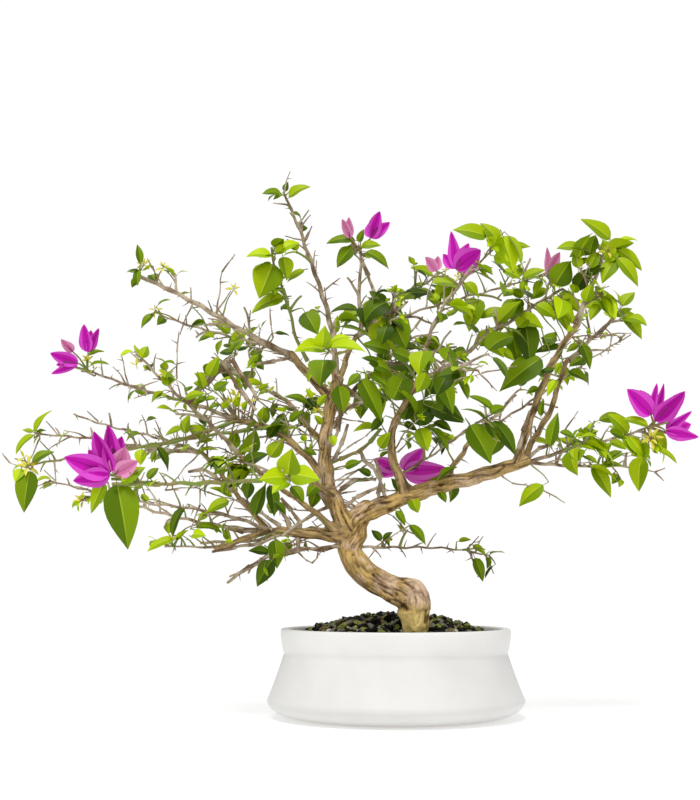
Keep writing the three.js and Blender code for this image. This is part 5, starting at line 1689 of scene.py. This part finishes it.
# How far a bloom stands in front of its shoot, its stalk's radii, how far each bract lies behind the last
# one, and how far bracts turn
BLOOM_FORWARD = 6
BLOOM_GIRTHS = (1.1, 0.8)
BRACT_BEHIND = 9
BRACT_TURN = 0.4
# The slim flower tubes inside a bloom: places along one, its radius there, and how far they spread
FLORET_ALONGS = (0, 0.5, 0.9, 1)
FLORET_GIRTHS = np.array((0.5, 0.8, 0.9, 1.3))
FLORET_FORWARD = 3
FLORET_SPREAD = 3
draw = seeded_draws(611)
for bearer, rows in SET_LEAVES.items():
    for across, down, tip_across, tip_down, turn, share, dealt in rows:
        lean = ROSETTE_LEAN.get(bearer, 0)
        depth = nearest_on(bearer, across, down)[1] - draw(*FOOT_FORWARD) - ROSETTE_START * lean
        foot = seen_at(across, down, depth)
        tip = seen_at(tip_across, tip_down, depth + draw(*TIP_FORWARD) - lean)
        bend = ARCH_FACING + ARCH_EDGE_ON * turn / 90 + draw(-ARCH_VARIES, ARCH_VARIES)
        foot, ahead, over, length, width = set_blade(foot, tip, math.radians(turn), share / 100, bend)
        stalk = PETIOLE / (1 - PETIOLE) * length
        leaves.append(((foot - stalk * ahead, ahead, over, length + stalk, width), dealt, bend))
        twig_to(foot - stalk * ahead, green_lines, bearer)
for table, lines, thick in ((SET_TWIGS, brown_lines, FINE_THICK), (STOUT_TWIGS, brown_lines, STOUT),
                            (GREEN_TWIGS, green_lines, STOUT)):
    for bearer, rows in table.items():
        for row in rows:
            start = nearest_on(bearer, *row[:2])
            bends = [start]
            for number, spot in enumerate(zip(row[::2], row[1::2])):
                beside = nearest_on(bearer, *spot) if lines is green_lines else start
                bends.append(seen_at(*spot, beside[1] - draw(*TWIG_FORWARD) * (1 + number)))
            for foot, tip in zip(bends[:-1], bends[1:]):
                length = float(np.linalg.norm(tip - foot))
                if length > 1:
                    twig = Limb(foot, (tip - foot) / length, length, thick, wander=TWIG_WANDER)
                    add_line(lines, twig, flare=0.2)
                    add_thorns(twig, HAND_THORNS, draw, least=0.2)
for bearer, rows in SET_BUDS.items():
    for across, down, count, size in rows:
        place = seen_at(across, down, nearest_on(bearer, across, down)[1] - BUD_FORWARD)
        twig_to(place, green_lines, bearer)
        for number in range(count):
            turn = 2 * math.pi * number / count + draw(-0.4, 0.4)
            aside = np.array((math.cos(turn), draw(-0.8, 0.2), math.sin(turn) + 0.3))
            tip = place + unit(aside) * size * draw(*BUD_LENGTHS)
            leaves.append((set_blade(place, tip, BUD_TURN, BUD_WIDTH, BUD_ARCH), BUD, BUD_ARCH))
for bearer, rows in BLOOMS.items():
    for across, down, dealt, tips in rows:
        base = seen_at(across, down, nearest_on(bearer, across, down)[1] - BLOOM_FORWARD)
        twig_to(base, green_lines, bearer, BLOOM_GIRTHS)
        for number, (tip_across, tip_down, wide) in enumerate(tips):
            tip = seen_at(tip_across, tip_down, base[1] - BRACT_BEHIND + BRACT_BEHIND * number)
            share = wide / float(np.linalg.norm(tip - base))
            bracts.append((set_blade(base, tip, draw(-BRACT_TURN, BRACT_TURN), share, CUPPED), dealt))
        inner = np.mean([seen_at(*tip[:2], base[1] - FLORET_FORWARD) for tip in tips], axis=0) - base
        for number in range(3):
            aside = 0.5 * inner + np.array([draw(-FLORET_SPREAD, FLORET_SPREAD) for _ in range(3)])
            floret_lines.append((base + np.outer(FLORET_ALONGS, aside), FLORET_GIRTHS))

for (foot, ahead, _, length, _), _, _ in leaves:
    ends = foot + np.outer((0, 0.5 * PETIOLE, PETIOLE * 1.3), ahead) * length
    green_lines.append((ends, np.full(3, min(PETIOLE_GIRTH, 0.03 * length))))

twig_skin, given = geometry_tree("twig_skin", Sides="Int", Material="Material")
paths = add_node(twig_skin, "GeometryNodeMeshToCurve", sockets={"Mesh": given["Geometry"]})
girth = add_node(twig_skin, "GeometryNodeInputNamedAttribute", {"data_type": "FLOAT"}, {"Name": "girth"})
ring = add_node(twig_skin, "GeometryNodeCurvePrimitiveCircle",
                sockets={"Resolution": given["Sides"], "Radius": 1.0})
tubes = add_node(twig_skin, "GeometryNodeCurveToMesh",
                 sockets={"Curve": paths[0], "Profile Curve": ring[0], "Scale": girth[0], "Fill Caps": True})
close_tree(twig_skin, tubes[0], given["Material"])


def skinned(name, lines, sides, material):
    """Round shoots along lines of (places, radii)."""
    places = np.concatenate([line for line, _ in lines])
    steps = []
    start = 0
    for line, _ in lines:
        steps += [(start + i, start + i + 1) for i in range(len(line) - 1)]
        start += len(line)
    mesh = bpy.data.meshes.new(name)
    mesh.from_pydata((places * MM).tolist(), steps, [])
    radii = np.concatenate([radii for _, radii in lines]).astype(np.float32)
    set_layer(mesh, "girth", "FLOAT", radii * MM)
    base = new_object("lines", mesh)
    piece = grown_on(base, twig_skin, name, Sides=sides, Material=material)
    remove_piece(base)
    piece.data.polygons.foreach_set("use_smooth", np.ones(len(piece.data.polygons), bool))
    return piece


foliage_nodes = ["foliage_" + name for name in FOLIAGE]
twig_bark, look = new_material("twig_bark", Specular_IOR_Level=0.3)
specks = look.mottle(500, 3)
blotches = look.mottle(70, 4).between(0.35, 0.65)
feed(twig_bark, Base_Color=blotches.mixed(tint(118, 94, 68), tint(194, 178, 152)),
     Roughness=0.6 + 0.3 * specks, Normal=look.bump(specks, 0.4, 0.0004))
woody = skinned("woody_twigs", brown_lines, 6, twig_bark)
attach(woody, "root")
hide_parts(*foliage_nodes)

green_rind, look = new_material("green_rind", Specular_IOR_Level=0.4)
blush = look.mottle(45, 2)
feed(green_rind, Base_Color=blush.between(0.4, 0.65).mixed(tint(128, 146, 62), tint(148, 132, 82)),
     Roughness=0.45 + 0.2 * blush)
green_shoots = skinned("green_shoots_and_stalks", green_lines, 5, green_rind)
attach(green_shoots, "root")
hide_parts(*foliage_nodes)

# Thorns
# Slim curved thorns stand at the nodes of boughs and stems, brown and hard with a sharp tip.
# One bent cone is set at every place, turned to its own direction and scaled to its own length.
THORN_GIRTH = 0.1
THORN_SIDES = 5
THORN_HOOK = 0.14
THORN_SPACING = 15
# Limbs that are too old for thorns
THORNLESS = ("trunk", "leader", "right_arm", "left_arm")
draw = seeded_draws(977)
for name, limb in limbs.items():
    if name not in THORNLESS:
        add_thorns(limb, THORN_SPACING, draw, least=0.2)
t = np.linspace(0, 1, 4)
middles = np.column_stack((THORN_HOOK * t**2, 0 * t, t))
thorn_shape = skin(middles, np.tile((1.0, 0, 0), (4, 1)), np.tile((0, 1.0, 0), (4, 1)),
                   THORN_GIRTH * (1 - 0.92 * t), THORN_SIDES)
one_thorn = add_piece("one_thorn", *thorn_shape, [], weld=True)

set_thorns, given = geometry_tree("set_thorns", Thorn="Object", Material="Material")
points = add_node(set_thorns, "GeometryNodeMeshToPoints", sockets={"Mesh": given["Geometry"]})
heading = add_node(set_thorns, "GeometryNodeInputNamedAttribute", {"data_type": "FLOAT_VECTOR"},
                   {"Name": "heading"})
size = add_node(set_thorns, "GeometryNodeInputNamedAttribute", {"data_type": "FLOAT"}, {"Name": "size"})
turned_to = add_node(set_thorns, "FunctionNodeAlignRotationToVector", {"axis": "Z"}, {"Vector": heading[0]})
shape = add_node(set_thorns, "GeometryNodeObjectInfo", sockets={"Object": given["Thorn"]})
placed = add_node(set_thorns, "GeometryNodeInstanceOnPoints",
                  sockets={"Points": points[0], "Instance": shape["Geometry"], "Rotation": turned_to[0],
                           "Scale": size[0]})
close_tree(set_thorns, placed[0], given["Material"])

thorn_mesh = bpy.data.meshes.new("thorn_feet")
thorn_mesh.from_pydata([tuple(foot * MM) for foot, _, _ in thorns], [], [])
set_layer(thorn_mesh, "heading", "FLOAT_VECTOR", [heading for _, heading, _ in thorns])
set_layer(thorn_mesh, "size", "FLOAT", [size for _, _, size in thorns])
thorn_feet = new_object("thorn_feet", thorn_mesh)
thorn_horn, look = new_material("thorn_horn")
streaks = look.mottle(150, 2)
feed(thorn_horn, Base_Color=streaks.mixed(tint(120, 92, 62), tint(172, 148, 112)),
     Roughness=0.4 + 0.3 * streaks)
thorn_set = grown_on(thorn_feet, set_thorns, "thorns", Thorn=one_thorn, Material=thorn_horn)
remove_piece(thorn_feet)
remove_piece(one_thorn)
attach(thorn_set, "root")

# Leaves
# Thin ovate leaves with a drawn-out tip, folded along a pale midrib, arched and waved, on short stalks. Each
# spray is dealt one of four greens, and buds are yellow. The half of a leaf that hangs lower takes a darker
# copy of its green as painted shade, and each leaf is a small grid of faces.
BLADE_ROWS = np.concatenate(((0.012,), np.linspace(0.1, 0.9, 7), (0.995,)))
BLADE_COLUMNS = np.array((-1, -0.52, -0.045, 0.045, 0.52, 1))
RIB_COLUMN = 2


def blade_mesh(blades, bends, base, point, fold, wave, curl, seed):
    """Places, faces and each face's column of many blades. base and point shape the ends of the outline."""
    pick = np.random.default_rng(seed)
    count = len(blades)
    foot, ahead, over = (np.array([blade[i] for blade in blades])[:, None, None] for i in range(3))
    length, width = (np.array([blade[i] for blade in blades])[:, None, None, None] for i in (3, 4))
    across = np.cross(ahead, over)
    s = BLADE_ROWS[None, :, None, None]
    u = BLADE_COLUMNS[None, None, :, None]
    bends = np.reshape(bends, (count, 1, 1, 1))
    twists = pick.uniform(-0.5, 0.5, (count, 1, 1, 1)) * s
    phases = pick.uniform(0, 2 * math.pi, (count, 1, 1, 1))
    folds = pick.uniform(*fold, (count, 1, 1, 1))
    turn = bends * s
    forward = np.sin(turn) / bends
    down = (1 - np.cos(turn)) / bends
    middle = foot + length * (forward * ahead - down * over)
    up = np.cos(turn) * over + np.sin(turn) * ahead
    side = np.cos(twists) * across + np.sin(twists) * up
    up = np.cos(twists) * up - np.sin(twists) * across
    peak = base / (base + point)
    half = 0.5 * width * s**base * (1 - s) ** point / (peak**base * (1 - peak) ** point)
    ruffle = wave * length * np.sin(9 * s + phases + 1.4 * np.sign(u)) * u**2 * 4 * s * (1 - s)
    lift = half * (np.abs(u) * np.sin(folds) - curl * u**2) + ruffle
    places = middle + side * half * u * np.cos(folds) + up * lift
    rows, columns = len(BLADE_ROWS), len(BLADE_COLUMNS)
    row, column = np.meshgrid(np.arange(rows - 1), np.arange(columns - 1), indexing="ij")
    corner = (row * columns + column).ravel()
    grid = np.stack((corner, corner + columns, corner + columns + 1, corner + 1), axis=-1)
    faces = grid[None] + (np.arange(count) * rows * columns)[:, None, None]
    return places.reshape(-1, 3), faces.reshape(-1, 4), np.tile(column.ravel(), count)


# Tints of each kind: the half of the blade that hangs higher, a darker copy of it as painted shade for the
# half that hangs lower, and the midrib
LEAF_TINTS = {
    "young": (tint(186, 210, 8), tint(152, 182, 4), tint(204, 222, 60)),
    "fresh": (tint(160, 183, 6), tint(122, 150, 3), tint(184, 202, 50)),
    "mid": (tint(118, 145, 5), tint(84, 112, 3), tint(150, 170, 40)),
    # The deep green is also painted shade, inside the crown and on leaves that lie in shade
    "deep": (tint(82, 107, 5), tint(54, 78, 3), tint(112, 134, 30)),
    "bud": (tint(228, 218, 90), tint(208, 198, 68), tint(236, 228, 140)),
}
draw = seeded_draws(263)
for dealt, (kind, colours) in enumerate(LEAF_TINTS.items()):
    blades = []
    bends = []
    for (foot, ahead, over, length, width), spray, bend in leaves:
        if spray == dealt:
            stalk = PETIOLE * length
            blades.append((foot + ahead * stalk, ahead, over, length - stalk, width))
            bends.append(draw(0.3, 1.5) if bend is None else bend)
    places, faces, columns = blade_mesh(blades, bends, base=0.6, point=1.15, fold=(0.1, 0.5), wave=0.018,
                                        curl=0.15, seed=41 + dealt)
    leaf_materials = []
    for part, colour in zip(("upper", "lower", "rib"), colours):
        leaf_materials.append(new_material(f"leaf_{kind}_{part}", Base_Color=colour, Roughness=0.45,
                                           Specular_IOR_Level=0.2, IOR=1.35)[0])
    # The half that hangs lower takes the darker copy of the green: painted shade
    drooping = np.array([np.cross(ahead, over)[2] < 0 for _, ahead, over, _, _ in blades])
    lower = (columns > RIB_COLUMN) == np.repeat(drooping, len(faces) // len(blades))
    picks = np.where(columns == RIB_COLUMN, 2, lower)
    leaf_piece = add_piece("leaves_" + kind, places, faces, leaf_materials, picks)
    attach(leaf_piece, "root")
    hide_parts(*foliage_nodes)

# Bracts
# Papery magenta bracts stand in clusters round slim dark flower tubes near the ends of the blooming shoots.
# They are cupped and waved, paler at the margin and darker at the rib, and a few have faded to pink.
# The bloom on the arm spur lies in the crown's shade and is painted lighter: painted light.
BRACT_TINTS = {
    "magenta": (tint(200, 22, 178), tint(217, 78, 202), tint(166, 10, 146)),
    "violet": (tint(176, 8, 152), tint(202, 62, 184), tint(140, 4, 118)),
    "faded": (tint(212, 120, 168), tint(226, 146, 190), tint(190, 100, 146)),
    # Magenta painted lighter, as painted light, for the bloom on the arm spur in the crown's shade
    "bright": (tint(222, 48, 200), tint(234, 112, 222), tint(184, 22, 164)),
}
# Which of its three tints each column of a bract's faces has
BRACT_COLUMNS = np.array((1, 0, 2, 0, 1))
bract_materials = []
for kind, colours in BRACT_TINTS.items():
    for part, colour in zip(("middle", "margin", "rib"), colours):
        bract_materials.append(new_material(f"bract_{kind}_{part}", Base_Color=colour, Roughness=0.5,
                                            Specular_IOR_Level=0.2, IOR=1.3)[0])
blades = [blade for blade, _ in bracts]
bends = [CUPPED] * len(blades)
places, faces, columns = blade_mesh(blades, bends, base=0.46, point=0.78, fold=(0.35, 0.75), wave=0.03,
                                    curl=0.25, seed=43)
kinds = np.repeat([dealt for _, dealt in bracts], len(faces) // len(blades))
bract_piece = add_piece("bracts", places, faces, bract_materials, 3 * kinds + BRACT_COLUMNS[columns])
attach(bract_piece, "root")
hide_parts(*(f"foliage_{name}" for name, row in FOLIAGE.items() if row[-1]))

floret_skin = new_material("floret", Base_Color=tint(128, 28, 104), Roughness=0.5)[0]
florets = skinned("florets", floret_lines, 5, floret_skin)
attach(florets, "root")

# Studio
# A plain pale floor, faintly lit from within so that shadows on it stay light, a soft light from above and a
# little from the front, a white room, and a camera just above the bowl's rim that looks slightly up.
FLOOR_RADIUS = 1700.0
FLOOR_DROP = 0.3
ROOM_LIGHT = 0.7
BACKDROP = 1.02
# Where the soft light comes from, its strength and its width in degrees
KEY_FROM = (-0.16, -0.5, 1.0)
KEY_POWER = 1.8
KEY_WIDTH = 24

camera_data = bpy.data.cameras.new("camera")
camera_data.lens = LENS
camera_data.sensor_fit = "VERTICAL"
camera_data.sensor_height = SENSOR
camera = new_object("camera", camera_data)
camera.location = Vector(EYE) * MM
camera.rotation_euler = Vector(SIGHT).to_track_quat("-Z", "Y").to_euler()
bpy.context.scene.camera = camera

key_data = bpy.data.lights.new("key", "SUN")
key_data.energy = KEY_POWER
key_data.angle = math.radians(KEY_WIDTH)
key = new_object("key", key_data)
key.rotation_euler = Vector(KEY_FROM).to_track_quat("Z", "Y").to_euler()

room = bpy.data.worlds.new("room")
room.use_nodes = True
air = Shade(room.node_tree)
seen = air.node("ShaderNodeLightPath", out="Is Camera Ray")
backdrop = room.node_tree.nodes["Background"]
backdrop.inputs["Color"].default_value = (1, 1, 1, 1)
room.node_tree.links.new((ROOM_LIGHT + (BACKDROP - ROOM_LIGHT) * seen).socket, backdrop.inputs["Strength"])
bpy.context.scene.world = room
bpy.context.scene.view_settings.view_transform = "Standard"

paper, look = new_material("pale_floor", Roughness=1.0, IOR=1.0, Emission_Color=(1, 1, 1, 1),
                           Emission_Strength=0.45)
feed(paper, Base_Color=look.mottle(30, 3).mixed(tint(206, 206, 205), tint(210, 210, 209)))
floor_outline = [(0, -FLOOR_DROP - 1), (FLOOR_RADIUS, -FLOOR_DROP - 1)]
floor_outline += [(FLOOR_RADIUS, -FLOOR_DROP), (FLOOR_RADIUS - 2, -FLOOR_DROP), (0, -FLOOR_DROP)]
floor = add_piece("floor", *turned(floor_outline, 96), [paper], weld=True)

bpy.context.view_layer.update()
